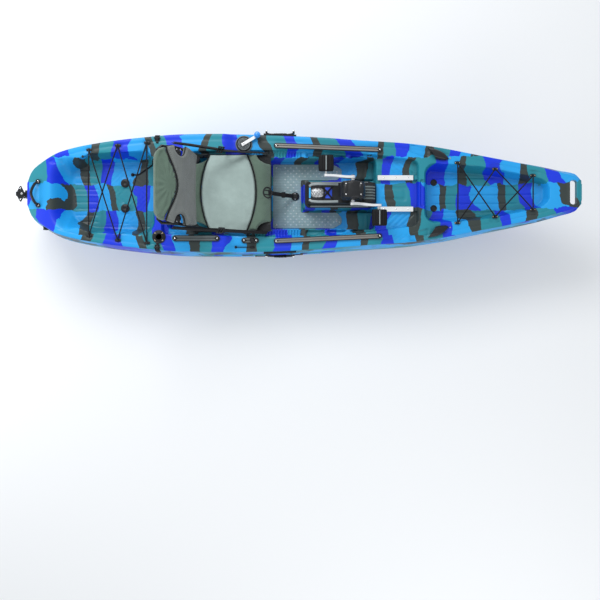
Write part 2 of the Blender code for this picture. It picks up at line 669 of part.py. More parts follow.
def crank_arm(name, side, reach, hub):
    """An arm from the axle to the pedal, thin, with round ends."""
    ends = [(CRANK_X, 0.016), (CRANK_X + reach, 0.013)]
    outward = 1 if reach > 0 else -1
    outline = []
    for (x, r), turn in zip(ends, (90, -90)):
        for k in range(9):
            a = radians(turn + 22.5 * k)
            outline.append((x + outward * r * cos(a), CRANK_Z + r * sin(a)))
    middle = side * CRANK_SIDE
    arm = plate(name, outline, middle - 0.006, middle + 0.006, "Y", "aluminium", hub)
    return cut(arm, cylinder(f"cut_{name}_eye", 0.0123, (CRANK_X, middle - 0.02, CRANK_Z),
                             (CRANK_X, middle + 0.02, CRANK_Z), "Y", sides=24))


def make_cranks(lift):
    hub = pivot("crank_pivot", (CRANK_X, 0, CRANK_Z))
    hub.parent = lift
    hub.matrix_parent_inverse = Matrix.Translation(-Vector(lift.location))
    cylinder("crank_axle", 0.012, (CRANK_X, -0.098, CRANK_Z), (CRANK_X, 0.098, CRANK_Z), "Y",
             "steel", hub, sides=24)
    pitch = 0.045
    turned("crank_gear", [(0.0123, 0.0095), (0.034, 0.0095), (pitch, 0.0123), (pitch, 0.020),
                          (0.020, 0.024), (0.0123, 0.024)], "Y", (CRANK_X, 0, CRANK_Z),
           "steel", hub, steps=24, ring=True)
    for side, tag in ((-1, "starboard"), (1, "port")):
        reach = CRANK_R if side < 0 else -CRANK_R
        crank_arm(f"crank_arm_{tag}", side, reach, hub)
        x = CRANK_X + reach
        pin = pivot(f"pedal_{tag}_pivot", (x, side * PEDAL_Y, CRANK_Z))
        pin.parent = hub
        pin.matrix_parent_inverse = Matrix.Translation(-Vector(hub.location))
        cylinder(f"pedal_axle_{tag}", 0.006, (x, side * (CRANK_SIDE + 0.0063), CRANK_Z),
                 (x, side * 0.222, CRANK_Z), "Y", "steel", hub, sides=12)
        low, high = sorted((side * 0.1225, side * 0.228))
        pedal = box(f"pedal_{tag}", (x - 0.050, low, CRANK_Z - 0.014),
                    (x + 0.050, high, CRANK_Z + 0.014), "black_plastic", pin,
                    round_edges=0.006, segments=1)
        cut(pedal, cylinder(f"cut_pedal_bore_{tag}", 0.0064, (x, side * 0.10, CRANK_Z),
                            (x, side * 0.24, CRANK_Z), "Y", sides=16))


def make_shafts(lift):
    low_gear = 0.012
    mesh = PROP_Z + 0.0006
    turned("drive_shaft",
           [(0.0, mesh + low_gear * 0.375), (low_gear * 0.75, mesh + low_gear * 0.375),
            (low_gear, mesh + low_gear * 0.5), (low_gear, PROP_Z + 0.0105),
            (0.006, PROP_Z + 0.0130), (0.006, 0.4080), (0.01125, 0.4080),
            (0.01125, 0.4140), (0.0084, 0.4250), (0.0, 0.4250)],
           "Z", (CRANK_X, 0, 0), "steel", lift, steps=16)
    screw = pivot("propeller_pivot", (0.222, 0, PROP_Z))
    screw.parent = lift
    screw.matrix_parent_inverse = Matrix.Translation(-Vector(lift.location))
    turned("propeller_shaft", [(0.0, -0.127), (0.006, -0.127), (0.006, -0.012),
                               (0.0045, -0.009), (0.0, -0.009)],
           "X", (CRANK_X, 0, PROP_Z), "steel", screw, steps=16)
    turned("shaft_collar", [(0.0063, 0.248), (0.0125, 0.248), (0.0125, 0.2665),
                            (0.0063, 0.2665)], "X", (0, 0, PROP_Z), "steel", screw,
           steps=16, ring=True)
    hub = turned("propeller", [(0.0, 0.1980), (0.0125, 0.1980), (0.0160, 0.222),
                               (0.0145, 0.2475), (0.0, 0.2475)], "X", (0, 0, PROP_Z),
                 "black_plastic", screw, steps=20)
    for side in (-1, 1):
        rings = []
        for k in range(11):
            share = 0.09 + 0.091 * k
            r = share * PROP_R
            a = atan2(BLADE_PITCH, 2 * pi * r)
            chord = line(BLADE_CHORD, share)
            ring = []
            for u, v in ((-0.5, 0.0), (0.0, 0.003), (0.5, 0.0), (0.0, -0.003)):
                across, along = chord * u, v * (1.2 - share)
                ring.append((0.226 + across * sin(a) + along * cos(a),
                             side * (across * cos(a) - along * sin(a)), PROP_Z + side * r))
            rings.append(ring)
        join(hub, loft(f"add_blade_{'up' if side > 0 else 'down'}", rings))
    cut(hub, cylinder("cut_propeller_bore", 0.0064, (0.18, 0, PROP_Z), (0.26, 0, PROP_Z), "X",
                      sides=16))
    turned("propeller_nut", [(0.0, 0.186), (0.006, 0.1875), (0.0115, 0.195),
                             (0.0120, 0.1977), (0.0, 0.1977)], "X", (0, 0, PROP_Z),
           "black_plastic", screw, steps=16)


# ---- rudder -------------------------------------------------------------
def make_rudder():
    bracket = box("rudder_bracket", (-1.8455, -0.024, 0.232), (-1.8306, 0.024, 0.292),
                  "black_plastic")
    for z in (0.232, 0.282):
        join(bracket, plate(f"add_lug_{z}", rounded([(-1.874, -0.012), (-1.835, -0.012),
                                                     (-1.835, 0.012), (-1.874, 0.012)],
                                                    0.0115), z, z + 0.010, "Z"))
    cut(bracket, cylinder("cut_lug_bore", 0.0055, (STEER_X, 0, 0.20), (STEER_X, 0, 0.32), "Z",
                          sides=16))
    steer = pivot("rudder_steer_pivot", (STEER_X, 0, 0.26))
    outline = [(-1.853, 0.2425), (-1.853, 0.2815), (-1.8757, 0.2815), (-1.8757, 0.3050),
               (-1.902, 0.3050), (-1.902, 0.2275), (-1.8757, 0.2275), (-1.8757, 0.2425)]
    head = plate("rudder_head", outline, -0.0135, 0.0135, "Y", "black_plastic", steer)
    for side in (-1, 1):
        low, high = sorted((side * 0.0064, side * 0.0128))
        join(head, plate(f"add_cheek_{side}",
                         [(-1.866, 0.184), (-1.868, 0.2310), (-1.9005, 0.2310),
                          (-1.905, 0.184)], low, high, "Y"))
    yoke = rounded([(-1.842, 0.0), (-1.872, 0.060), (-1.902, 0.0), (-1.872, -0.060)], 0.006)
    join(head, plate("add_yoke", yoke, 0.2985, 0.3042, "Z"))
    for side in (-1, 1):
        cut(head, cylinder(f"cut_yoke_eye_{side}", 0.005, (-1.872, side * 0.036, 0.29),
                           (-1.872, side * 0.036, 0.32), "Z", sides=12))
    cut(head,
        cylinder("cut_head_bore", 0.0055, (STEER_X, 0, 0.236), (STEER_X, 0, 0.32), "Z",
                 sides=16),
        cylinder("cut_kick_bore", 0.0046, (KICK_X, -0.03, KICK_Z), (KICK_X, 0.03, KICK_Z), "Y",
                 sides=16))
    turned("rudder_pin", [(0.0, 0.229), (0.005, 0.229), (0.005, 0.3060), (0.008, 0.3060),
                          (0.008, 0.3105), (0.0, 0.3115)], "Z", (STEER_X, 0, 0), "steel",
           steer, steps=16)
    turned("kick_bolt", [(0.0, -0.0185), (0.0075, -0.0185), (0.0075, -0.0140),
                         (0.0042, -0.0140), (0.0042, 0.0155), (0.0, 0.0155)], "Y",
           (KICK_X, 0, KICK_Z), "steel", steer, steps=16)
    kick = pivot("rudder_kick_pivot", (KICK_X, 0, KICK_Z))
    kick.parent = steer
    kick.matrix_parent_inverse = Matrix.Translation(-Vector(steer.location))
    crown = [(KICK_X + 0.020 * cos(radians(a)), KICK_Z + 0.020 * sin(radians(a)))
             for a in range(180, -1, -30)]
    blade = crown + [(-1.840, 0.165), (-1.832, 0.100), (-1.826, 0.034), (-1.774, 0.020),
                     (-1.771, -0.060), (-1.776, -0.135), (-1.800, -0.157), (-1.850, -0.154),
                     (-1.878, -0.122), (-1.900, 0.0), (-1.910, 0.150)]
    rudder = plate("rudder_blade", blade, -0.0060, 0.0060, "Y", "black_plastic", kick)
    cut(rudder, cylinder("cut_blade_bore", 0.0046, (KICK_X, -0.02, KICK_Z),
                         (KICK_X, 0.02, KICK_Z), "Y", sides=16))


# ---- steering dial ------------------------------------------------------
def make_steering():
    deck = line(SHEER, DIAL_X)
    turned("steering_dial", [(0.0065, deck + GAP), (0.050, deck + GAP), (0.050, deck + 0.010),
                             (0.044, deck + 0.015), (0.0065, deck + 0.015)], "Z",
           (DIAL_X, DIAL_Y, 0), "black_plastic", steps=24, ring=True)
    turn = pivot("steering_pivot", (DIAL_X, DIAL_Y, deck))
    angle = radians(31)
    reach = 0.105
    along = Vector((cos(angle), sin(angle), 0))
    end = Vector((DIAL_X, DIAL_Y, 0)) + along * reach
    middle = Vector((DIAL_X, DIAL_Y, 0)) + along * 0.045
    spin = Matrix.Rotation(angle, 4, "Z")
    low = Vector((middle.x - 0.060, middle.y - 0.010, deck + 0.0155))
    high = Vector((middle.x + 0.060, middle.y + 0.010, deck + 0.0215))
    lever = box("steering_lever", low, high, "aluminium", turn, turn=spin)
    join(lever, cylinder("add_lever_pin", 0.006, (DIAL_X, DIAL_Y, deck + 0.002),
                         (DIAL_X, DIAL_Y, deck + 0.018), "Z", sides=16))
    turned("steering_knob", [(0.0, 0.0), (0.010, 0.0), (0.018, 0.006), (0.022, 0.018),
                             (0.020, 0.030), (0.012, 0.040), (0.0, 0.043)], "Z",
           (end.x, end.y, deck + 0.0218), "blue_plastic", turn, steps=16)


# ---- seat ---------------------------------------------------------------
def make_seat():
    slide = pivot("seat_slide_pivot", (-0.48, 0, LEDGE_Z))
    tube_r = 0.0105
    z = LEDGE_Z + tube_r + 0.0006
    front, back, half = -0.225, -0.735, SEAT_RAIL_Y
    corner = 0.035
    loop = rounded([(back, -half), (front, -half), (front, half), (back, half)], corner, 4)
    tube("seat_frame", [(x, y, z) for x, y in loop], tube_r, "frame_tube", slide, closed=True)
    ring = [(-0.726, 0.195, 0.3235, 0.352), (-0.700, 0.219, 0.3235, 0.362),
            (-0.500, 0.223, 0.3235, 0.366), (-0.340, 0.223, 0.3235, 0.370),
            (-0.290, 0.222, 0.3235, 0.388), (-0.245, 0.216, 0.3235, 0.378),
            (-0.238, 0.200, 0.3240, 0.350)]
    loft("seat_cushion", [[(x, -w, lo + 0.010), (x, -w * 0.95, lo), (x, w * 0.95, lo),
                           (x, w, lo + 0.010), (x, w, hi - 0.014), (x, w * 0.93, hi - 0.002),
                           (x, 0, hi), (x, -w * 0.93, hi - 0.002), (x, -w, hi - 0.014)]
                          for x, w, lo, hi in ring], "seat_fabric", slide)
    for side, tag in ((-1, "starboard"), (1, "port")):
        y = side * 0.2447
        low, high = sorted((y, y + side * 0.006))
        plate(f"recline_plate_{tag}", rounded([(-0.690, 0.3235), (-0.600, 0.3235),
                                               (-0.625, 0.366), (-0.672, 0.366)], 0.008),
              low, high, "Y", "black_plastic", slide)
        y = side * 0.2575
        strap_low, strap_high = sorted((y, y + side * 0.003))
        strap = [(-0.800, 0.655), (-0.790, 0.675), (-0.452, 0.432), (-0.232, 0.350),
                 (-0.236, 0.330), (-0.470, 0.408)]
        plate(f"seat_strap_{tag}", strap, strap_low, strap_high, "Y", "webbing", slide)
    make_back(slide)


def make_back(slide):
    """The back: a tube hoop that leans back and bends further back at the head."""
    hinge = pivot("seat_back_pivot", (RECLINE_X, 0, RECLINE_Z))
    hinge.parent = slide
    hinge.matrix_parent_inverse = Matrix.Translation(-Vector(slide.location))

    def place(x, z, lean, forward, y):
        return (x + forward * cos(lean), y, z + forward * sin(lean))

    half = 0.2345
    behind = -0.0125 - BACK_TUBE_R
    post = [(RECLINE_X, 0, RECLINE_Z), (-0.660, 0, 0.392)]
    post += [place(x, z, lean, behind, 0) for x, z, lean, _, _ in BACK_STATIONS[1:]]
    up = [(x, -half, z) for x, _, z in post[:-1]]
    x, _, z = post[-1]
    across = [(x + 0.022, -half, z - 0.011), (x, -half + 0.022, z), (x, -half + 0.070, z),
              (x, half - 0.070, z), (x, half - 0.022, z), (x + 0.022, half, z - 0.011)]
    down = [(x, half, z) for x, _, z in reversed(post[:-1])]
    tube("back_frame", up + across + down, BACK_TUBE_R, "frame_tube", hinge)
    rings = [[place(x, z, lean, k * t - BACK_TUBE_R, w * y)
              for k, y in ((0.0, -0.93), (0.0, 0.93), (0.3, 1.0), (0.8, 0.96), (1.0, 0.75),
                           (1.0, -0.75), (0.8, -0.96), (0.3, -1.0))]
             for x, z, lean, w, t in BACK_STATIONS]
    loft("back_cushion", rings, "seat_fabric", hinge)


# ---- the boat -----------------------------------------------------------
clear_scene()
BOAT = collection("pedal_boat")
CUTTERS = collection("cutters")
make_hull()
make_deck_fittings()
make_side_handle(-1, "starboard")
make_side_handle(1, "port")
make_drive()
make_rudder()
make_steering()
make_seat()
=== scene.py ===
"""The looks of the pedal boat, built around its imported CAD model. Metres, in the CAD's frame:
+X to the bow, +Y to port, +Z up."""
from math import atan, cos, pi, radians, sin

import bmesh
import bpy
import numpy as np
from mathutils import Matrix, Vector


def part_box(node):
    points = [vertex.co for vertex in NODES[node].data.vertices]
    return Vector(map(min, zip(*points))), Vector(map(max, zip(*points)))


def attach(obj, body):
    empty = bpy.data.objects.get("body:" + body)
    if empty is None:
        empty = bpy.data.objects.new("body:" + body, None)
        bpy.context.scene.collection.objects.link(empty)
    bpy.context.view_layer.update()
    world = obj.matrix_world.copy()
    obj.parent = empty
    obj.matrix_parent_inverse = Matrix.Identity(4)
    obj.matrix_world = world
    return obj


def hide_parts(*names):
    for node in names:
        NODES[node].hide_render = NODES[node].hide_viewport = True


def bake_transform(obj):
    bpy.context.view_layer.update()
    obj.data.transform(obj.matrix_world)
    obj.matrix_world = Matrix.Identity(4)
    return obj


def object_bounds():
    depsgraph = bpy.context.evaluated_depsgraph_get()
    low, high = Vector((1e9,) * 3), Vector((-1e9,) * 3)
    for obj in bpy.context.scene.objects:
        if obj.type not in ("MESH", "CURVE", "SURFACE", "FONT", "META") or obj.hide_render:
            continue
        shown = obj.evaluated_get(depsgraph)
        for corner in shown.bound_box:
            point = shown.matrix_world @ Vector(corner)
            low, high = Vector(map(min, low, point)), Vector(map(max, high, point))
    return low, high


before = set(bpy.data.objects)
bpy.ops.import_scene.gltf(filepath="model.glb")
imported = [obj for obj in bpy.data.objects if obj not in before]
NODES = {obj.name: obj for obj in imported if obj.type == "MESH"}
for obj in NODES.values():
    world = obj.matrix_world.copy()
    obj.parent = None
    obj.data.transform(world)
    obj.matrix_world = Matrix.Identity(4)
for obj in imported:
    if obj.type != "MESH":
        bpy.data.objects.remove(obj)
CAD_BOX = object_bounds()
SIDES = ((-1, "starboard"), (1, "port"))


# ---- camera, floor and lights --------------------------------------------
VIEW_WIDTH = 3.957         # metres across the picture, at the deck
VIEW_HEIGHT = 5.0          # camera above the deck
DECK_Z = 0.34
VIEW_X, VIEW_Y = -0.015, -0.706     # the boat lies in the upper part of the picture


def make_camera():
    data = bpy.data.cameras.new("camera")
    data.angle = 2 * atan(VIEW_WIDTH / 2 / VIEW_HEIGHT)
    camera = bpy.data.objects.new("camera", data)
    camera.location = (VIEW_X, VIEW_Y, DECK_Z + VIEW_HEIGHT)
    bpy.context.collection.objects.link(camera)
    bpy.context.scene.camera = camera


def area_light(name, place, target, size, power):
    data = bpy.data.lights.new(name, "AREA")
    data.shape = "RECTANGLE"
    data.size, data.size_y = size
    data.energy = power
    light = bpy.data.objects.new(name, data)
    light.location = place
    light.rotation_euler = (Vector(target) - Vector(place)).to_track_quat("-Z", "Y").to_euler()
    bpy.context.collection.objects.link(light)


def make_stage():
    low = CAD_BOX[0][2] - 0.012
    bpy.ops.mesh.primitive_plane_add(size=60.0, location=(0, 0, low))
    floor = bpy.context.object
    floor.name = "floor"
    floor.data.materials.append(plain("floor_white", (0.86, 0.87, 0.88), 0.85))
    world = bpy.data.worlds.new("studio")
    bpy.context.scene.world = world
    world.use_nodes = True
    world.node_tree.nodes["Background"].inputs["Color"].default_value = (0.94, 0.97, 1.0, 1)
    world.node_tree.nodes["Background"].inputs["Strength"].default_value = 0.70
    area_light("key", (-1.6, 3.2, 4.2), (0, 0, 0.1), (3.4, 1.8), 172)
    area_light("fill", (1.6, -4.4, 2.2), (0, 0, 0.1), (3.4, 1.6), 42)
    area_light("rim", (-4.2, -0.6, 1.6), (-0.6, 0, 0.2), (1.6, 1.2), 35)
    bpy.context.scene.view_settings.view_transform = "Standard"


# ---- material kit ----------------------------------------------------------
class Shader:
    """A Principled material; its nodes are added by short calls."""

    def __init__(self, name, rough=0.5, metal=0.0, **sockets):
        self.mat = bpy.data.materials.new(name)
        self.mat.use_nodes = True
        self.tree = self.mat.node_tree
        self.bsdf = self.tree.nodes["Principled BSDF"]
        self.set(self.bsdf, Roughness=rough, Metallic=metal, **sockets)
        self.place = self.node("TexCoord").outputs["Object"]

    def set(self, node, **inputs):
        for name, value in inputs.items():
            socket = node.inputs[int(name[1:])] if name[0] == "_" else \
                node.inputs[name.replace("_", " ")]
            if isinstance(value, bpy.types.NodeSocket):
                self.tree.links.new(value, socket)
            else:
                socket.default_value = value
        return node

    def node(self, kind, props=None, **inputs):
        node = self.tree.nodes.new("ShaderNode" + kind)
        for name, value in (props or {}).items():
            setattr(node, name, value)
        return self.set(node, **inputs)

    def math(self, operation, a, b=0.0, c=0.0):
        return self.node("Math", {"operation": operation}, _0=a, _1=b, _2=c).outputs[0]

    def stretch(self, scale, turn=(0, 0, 0), vector=None):
        return self.node("Mapping", Vector=vector or self.place, Scale=scale,
                         Rotation=turn).outputs[0]

    def noise(self, scale, detail=2.0, rough=0.5, vector=None, out="Fac"):
        return self.node("TexNoise", Vector=vector or self.place, Scale=scale, Detail=detail,
                         Roughness=rough).outputs[out]

    def ramp(self, value, stops, mode="LINEAR"):
        node = self.node("ValToRGB", _0=value)
        node.color_ramp.interpolation = mode
        elements = node.color_ramp.elements
        while len(elements) < len(stops):
            elements.new(0.5)
        for element, (at, colour) in zip(elements, stops):
            element.position = at
            element.color = (*colour, 1.0)
        return node.outputs["Color"]

    def mix(self, share, a, b, mode="MIX"):
        node = self.node("Mix", {"data_type": "RGBA", "blend_type": mode}, _0=share)
        for socket, value in ((node.inputs[6], a), (node.inputs[7], b)):
            if isinstance(value, bpy.types.NodeSocket):
                self.tree.links.new(value, socket)
            else:
                socket.default_value = (*value, 1.0)
        return node.outputs[2]

    def finish(self, colour=None, rough=None, bump=None, strength=0.2, distance=0.001):
        if colour is not None:
            self.set(self.bsdf, Base_Color=colour)
        if rough is not None:
            self.set(self.bsdf, Roughness=rough)
        if bump is not None:
            lift = self.node("Bump", Height=bump, Strength=strength, Distance=distance)
            self.set(self.bsdf, Normal=lift.outputs[0])
        return self.mat


def rgb(code):
    """Linear colour of a hex code."""
    parts = [int(code[i:i + 2], 16) / 255 for i in (0, 2, 4)]
    return tuple(c / 12.92 if c <= 0.04045 else ((c + 0.055) / 1.055) ** 2.4 for c in parts)


def shade(colour, k, top=2.0):
    """A colour k times as bright, with no channel above top."""
    return tuple(min(top, c * k) for c in colour)


def plain(name, colour, rough):
    s = Shader(name, rough)
    s.bsdf.inputs["Base Color"].default_value = (*colour, 1)
    return s.mat


def plastic(name, colour, rough=0.42, grain=0.12, scale=900.0, shine=0.5):
    """Moulded plastic: fine grain, faint blotches and handling wear."""
    s = Shader(name, Specular_IOR_Level=shine)
    blotch = s.noise(9.0, 3.0)
    wear = s.noise(60.0, 6.0, 0.7)
    tint = s.mix(blotch, shade(colour, 0.78), shade(colour, 1.3))
    tint = s.mix(s.math("MULTIPLY", s.math("POWER", wear, 5.0), 0.9), tint,
                 tuple(min(1, c * 2.2 + 0.02) for c in colour))
    gloss = s.math("MULTIPLY_ADD", wear, 0.22, rough - 0.11)
    return s.finish(tint, gloss, s.noise(scale, 2.0), grain, 0.0006)


def metal(name, colour, rough=0.28, along="X", grain=0.10, share=1.0):
    """Brushed metal: the grain runs along one axis. A share under 1 is bead-blasted."""
    s = Shader(name, metal=share)
    scale = {"X": (6, 900, 900), "Y": (900, 6, 900), "Z": (900, 900, 6)}[along]
    lines = s.noise(1.0, 3.0, 0.6, s.stretch(scale))
    dull = s.noise(14.0, 4.0)
    tint = s.mix(dull, shade(colour, 0.86), shade(colour, 1.08, 1.0))
    gloss = s.math("ADD", s.math("MULTIPLY", lines, 0.16),
                   s.math("MULTIPLY_ADD", dull, 0.12, rough - 0.14))
    return s.finish(tint, gloss, lines, grain, 0.0004)


CAMO_LAP, CAMO_ROW = 0.370, 0.172   # the deck's colours repeat along X, in rows across Y
AZURE, ROYAL, TEAL, OLIVE = (rgb(c) for c in ("1EA8F2", "0836E4", "218F9F", "373F3B"))


def camo():
    """Four powder colours moulded into one skin: blocks with clear edges on the deck, and
    longer streaks that run into each other on the sides."""
    s = Shader("hull_camo", Coat_Weight=0.06, Coat_Roughness=0.30, Specular_IOR_Level=0.35)
    wobble = s.noise(11.0, 3.0, 0.6, out="Color")
    fine = s.noise(70.0, 3.0, 0.6, out="Color")
    sway = s.node("VectorMath", {"operation": "MULTIPLY_ADD"}, _0=wobble,
                  _1=(0.042, 0.075, 0.06), _2=s.place).outputs[0]
    sway = s.node("VectorMath", {"operation": "MULTIPLY_ADD"}, _0=fine,
                  _1=(0.005, 0.007, 0.005), _2=sway).outputs[0]
    along, athwart = s.node("SeparateXYZ", _0=sway).outputs[:2]
    row = s.math("FLOOR", s.math("MULTIPLY_ADD", athwart, 1 / CAMO_ROW, 0.35))
    shift = s.node("TexWhiteNoise", {"noise_dimensions": "1D"}, W=row).outputs["Value"]
    lap = s.math("MULTIPLY_ADD", s.noise(3.0, 1.0), 0.8, shift)
    pick = s.math("FRACT", s.math("MULTIPLY_ADD", along, 1 / CAMO_LAP, lap))
    deck = s.ramp(pick, [(0.0, ROYAL), (0.25, AZURE), (0.56, OLIVE), (0.73, TEAL)], "CONSTANT")
    drift = s.noise(4.0, 5.0, 0.62, s.stretch((0.9, 1.0, 2.2)), "Color")
    flow = s.node("VectorMath", {"operation": "MULTIPLY_ADD"}, _0=drift,
                  _1=(0.55, 0.0, 0.34), _2=s.place).outputs[0]
    royal = s.ramp(s.noise(3.1, 2.0, 0.5, s.stretch((1.0, 0.5, 2.0), (0, 0.4, 0), flow)),
                   [(0.53, (0, 0, 0)), (0.62, (1, 1, 1))])
    dark = s.ramp(s.noise(3.7, 3.0, 0.55, s.stretch((1.1, 0.5, 2.6), (0, -0.3, 0.7), flow)),
                  [(0.54, (0, 0, 0)), (0.62, (1, 1, 1))])
    water = s.ramp(s.noise(2.6, 3.0, 0.5, s.stretch((1.0, 0.5, 3.0), (0.3, 0, 0), flow)),
                   [(0.40, TEAL), (0.52, AZURE)])
    side = s.mix(dark, s.mix(royal, water, ROYAL), OLIVE)
    normal = s.node("SeparateXYZ", _0=s.node("NewGeometry").outputs["Normal"]).outputs
    across, height = s.node("SeparateXYZ", _0=s.place).outputs[1:]
    inward = s.math("LESS_THAN", s.math("MULTIPLY", normal[1], across), 0.012)
    on_deck = s.math("MULTIPLY", s.node("MapRange", Value=normal[2], From_Min=0.30, From_Max=0.55)
                     .outputs[0], s.math("GREATER_THAN", height, 0.12))
    console = s.math("LESS_THAN", s.math("ABSOLUTE", across), 0.13)
    well = s.math("MULTIPLY", s.math("MAXIMUM", inward, console),
                  s.math("GREATER_THAN", height, 0.15))
    colour = s.mix(s.math("MAXIMUM", on_deck, well), side, deck)
    speck = s.noise(420.0, 3.0, 0.7)
    colour = s.mix(s.math("MULTIPLY", speck, 0.14), colour, (0.02, 0.04, 0.06))
    cloud = s.noise(3.0, 3.0)
    colour = s.mix(0.40, colour, s.mix(cloud, (0.55, 0.60, 0.66), (1.0, 1.0, 1.0)), "MULTIPLY")
    # painted shade: the skin darkens where ambient occlusion finds creases, corners and recesses
    crease_shade = s.node("AmbientOcclusion", {"samples": 6}, Distance=0.05).outputs["AO"]
    colour = s.mix(s.math("MULTIPLY_ADD", crease_shade, -0.55, 0.55), colour, (0.01, 0.02, 0.04))
    gloss = s.math("MULTIPLY_ADD", s.noise(30.0, 4.0), 0.14, 0.36)
    peel = s.math("ADD", s.noise(260.0, 2.0), s.math("MULTIPLY", s.noise(1300.0, 2.0), 0.4))
    return s.finish(colour, gloss, peel, 0.10, 0.0012)


WAVE_SCALE = 0.31416       # a wave texture of this scale has its ridges a metre apart
MIRROR = (1, -1, 1)


def wave(s, axis, pitch, wander=0.4, shape="SIN", detail=2.0, fine=2.0, vector=None):
    """Ridges across one axis, pitch metres apart, 0 to 1."""
    return s.node("TexWave", {"bands_direction": axis, "wave_profile": shape},
                  Vector=vector or s.place, Scale=WAVE_SCALE / pitch, Distortion=wander,
                  Detail=detail, Detail_Scale=fine).outputs["Fac"]


def cloth(name, colour, axes=("X", "Y"), pitch=0.0016, hole_shade=0.0, sheen=0.25):
    """Woven fabric with threads across two axes, faded along its creases, with painted shade in
    the low places between the threads; hole_shade paints shade into the holes between the threads."""
    s = Shader(name, 0.8, Sheen_Weight=sheen, Sheen_Roughness=0.5, Specular_IOR_Level=0.25)
    one, two = (wave(s, axis, pitch) for axis in axes)
    knots = s.math("MULTIPLY", one, two)
    height = s.math("MAXIMUM", one, two)
    fade = s.noise(7.0, 4.0, 0.6)
    dark = shade(colour, 0.62, 1.0)
    tint = s.mix(fade, dark, shade(colour, 1.25, 1.0))
    tint = s.mix(s.math("MULTIPLY", s.noise(34.0, 5.0, 0.7), 0.35), tint, dark)
    # painted shade: the weave's low places between the threads are darkened
    tint = s.mix(s.math("MULTIPLY_ADD", height, -0.5, 0.5), tint, shade(colour, 0.35))
    # painted shade: the holes of an open mesh are darkened
    if hole_shade:
        tint = s.mix(s.math("MULTIPLY_ADD", knots, -hole_shade, hole_shade), tint,
                     shade(colour, 0.18))
    gloss = s.math("MULTIPLY_ADD", s.noise(25.0, 3.0), 0.16, 0.70)
    return s.finish(tint, gloss, height, 0.55, 0.0007)


def braid(name, colour, fleck, pitch=0.004):
    """Shock cord: a braided cover with flecks of a lighter yarn, and painted shade in the grooves
    between its strands.
    """
    s = Shader(name, 0.65, Sheen_Weight=0.05, Specular_IOR_Level=0.2)
    left = wave(s, "DIAGONAL", pitch, 0.5, fine=1.0)
    right = wave(s, "DIAGONAL", pitch, 0.5, fine=1.0, vector=s.stretch(MIRROR))
    weave = s.math("MAXIMUM", left, right)
    spots = s.math("GREATER_THAN", s.noise(240.0, 2.0), 0.62)
    # painted shade: the cover is darker in the grooves between its strands
    tint = s.mix(s.math("MULTIPLY", spots, 0.5), s.mix(weave, shade(colour, 0.4), colour), fleck)
    return s.finish(tint, None, weave, 0.6, 0.0006)


def foam(name, colour):
    """Closed-cell deck foam: fine pores, scuffs, and wavy scrolls pressed in, their grooves
    darkened with painted shade.
    """
    s = Shader(name, 0.85)
    pores = s.node("TexVoronoi", {"feature": "F1"}, Vector=s.place, Scale=700.0).outputs[0]
    scroll = wave(s, "Y", 0.011, 3.0, detail=1.0, fine=6.0)
    scuff = s.noise(16.0, 6.0, 0.7)
    tint = s.mix(scuff, shade(colour, 0.62), shade(colour, 1.25))
    # painted shade: the scrolls' grooves are darkened
    tint = s.mix(s.math("MULTIPLY_ADD", scroll, -0.30, 0.30), tint, shade(colour, 0.3))
    height = s.math("ADD", s.math("MULTIPLY", pores, 0.35), scroll)
    return s.finish(tint, s.math("MULTIPLY_ADD", scuff, 0.12, 0.76), height, 0.45, 0.0012)


def knurled(name, colour):
    """Cast metal with a diamond tread, its grooves darkened with painted shade."""
    s = Shader(name, 0.4, 0.9)
    left = wave(s, "DIAGONAL", 0.010, 0.0, "TRI")
    right = wave(s, "DIAGONAL", 0.010, 0.0, "TRI", vector=s.stretch(MIRROR))
    lines = s.math("MULTIPLY", left, right)
    dull = s.noise(40.0, 4.0)
    tint = s.mix(dull, shade(colour, 0.7), shade(colour, 1.3, 1.0))
    # painted shade: the tread's grooves are darkened nearly to black
    tint = s.mix(s.math("MULTIPLY_ADD", lines, -0.8, 0.4), tint, (0.03, 0.03, 0.035))
    return s.finish(tint, s.math("MULTIPLY_ADD", dull, 0.2, 0.28), lines, 0.8, 0.002)


# ---- mesh kit ---------------------------------------------------------------
def mesh_piece(name, verts, faces, mat, body="hull", smooth_angle=35.0):
    mesh = bpy.data.meshes.new(name)
    mesh.from_pydata([tuple(v) for v in verts], [], [tuple(f) for f in faces])
    bm = bmesh.new()
    bm.from_mesh(mesh)
    bmesh.ops.recalc_face_normals(bm, faces=bm.faces)
    bm.to_mesh(mesh)
    bm.free()
    return from_mesh(name, mesh, mat, body, smooth_angle)


def from_mesh(name, mesh, mat, body="hull", smooth_angle=35.0):
    obj = bpy.data.objects.new(name, mesh)
    bpy.context.collection.objects.link(obj)
    obj.data.materials.append(mat)
    mesh.shade_smooth()
    mesh.set_sharp_from_angle(angle=radians(smooth_angle))
    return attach(obj, body) if body else obj


def applied(obj):
    """The object with its modifiers made part of its mesh."""
    graph = bpy.context.evaluated_depsgraph_get()
    mesh = bpy.data.meshes.new_from_object(obj.evaluated_get(graph), depsgraph=graph)
    old = obj.data
    obj.modifiers.clear()
    obj.data = mesh
    bpy.data.meshes.remove(old)
    return obj


def smooth_path(points, step):
    """Points every step along a smooth curve through these."""
    points = [np.array(p, float) for p in points]
    points = [2 * points[0] - points[1]] + points + [2 * points[-1] - points[-2]]
    path = []
    for p0, p1, p2, p3 in zip(points, points[1:], points[2:], points[3:]):
        count = max(1, round(float(np.linalg.norm(p2 - p1)) / step))
        for t in np.arange(count) / count:
            path.append(0.5 * (2 * p1 + (p2 - p0) * t + (2 * p0 - 5 * p1 + 4 * p2 - p3) * t * t
                               + (3 * p1 - p0 - 3 * p2 + p3) * t ** 3))
    return path + [points[-2]]


def circle(radius, sides=10):
    return [(radius * cos(2 * pi * k / sides), radius * sin(2 * pi * k / sides))
            for k in range(sides)]


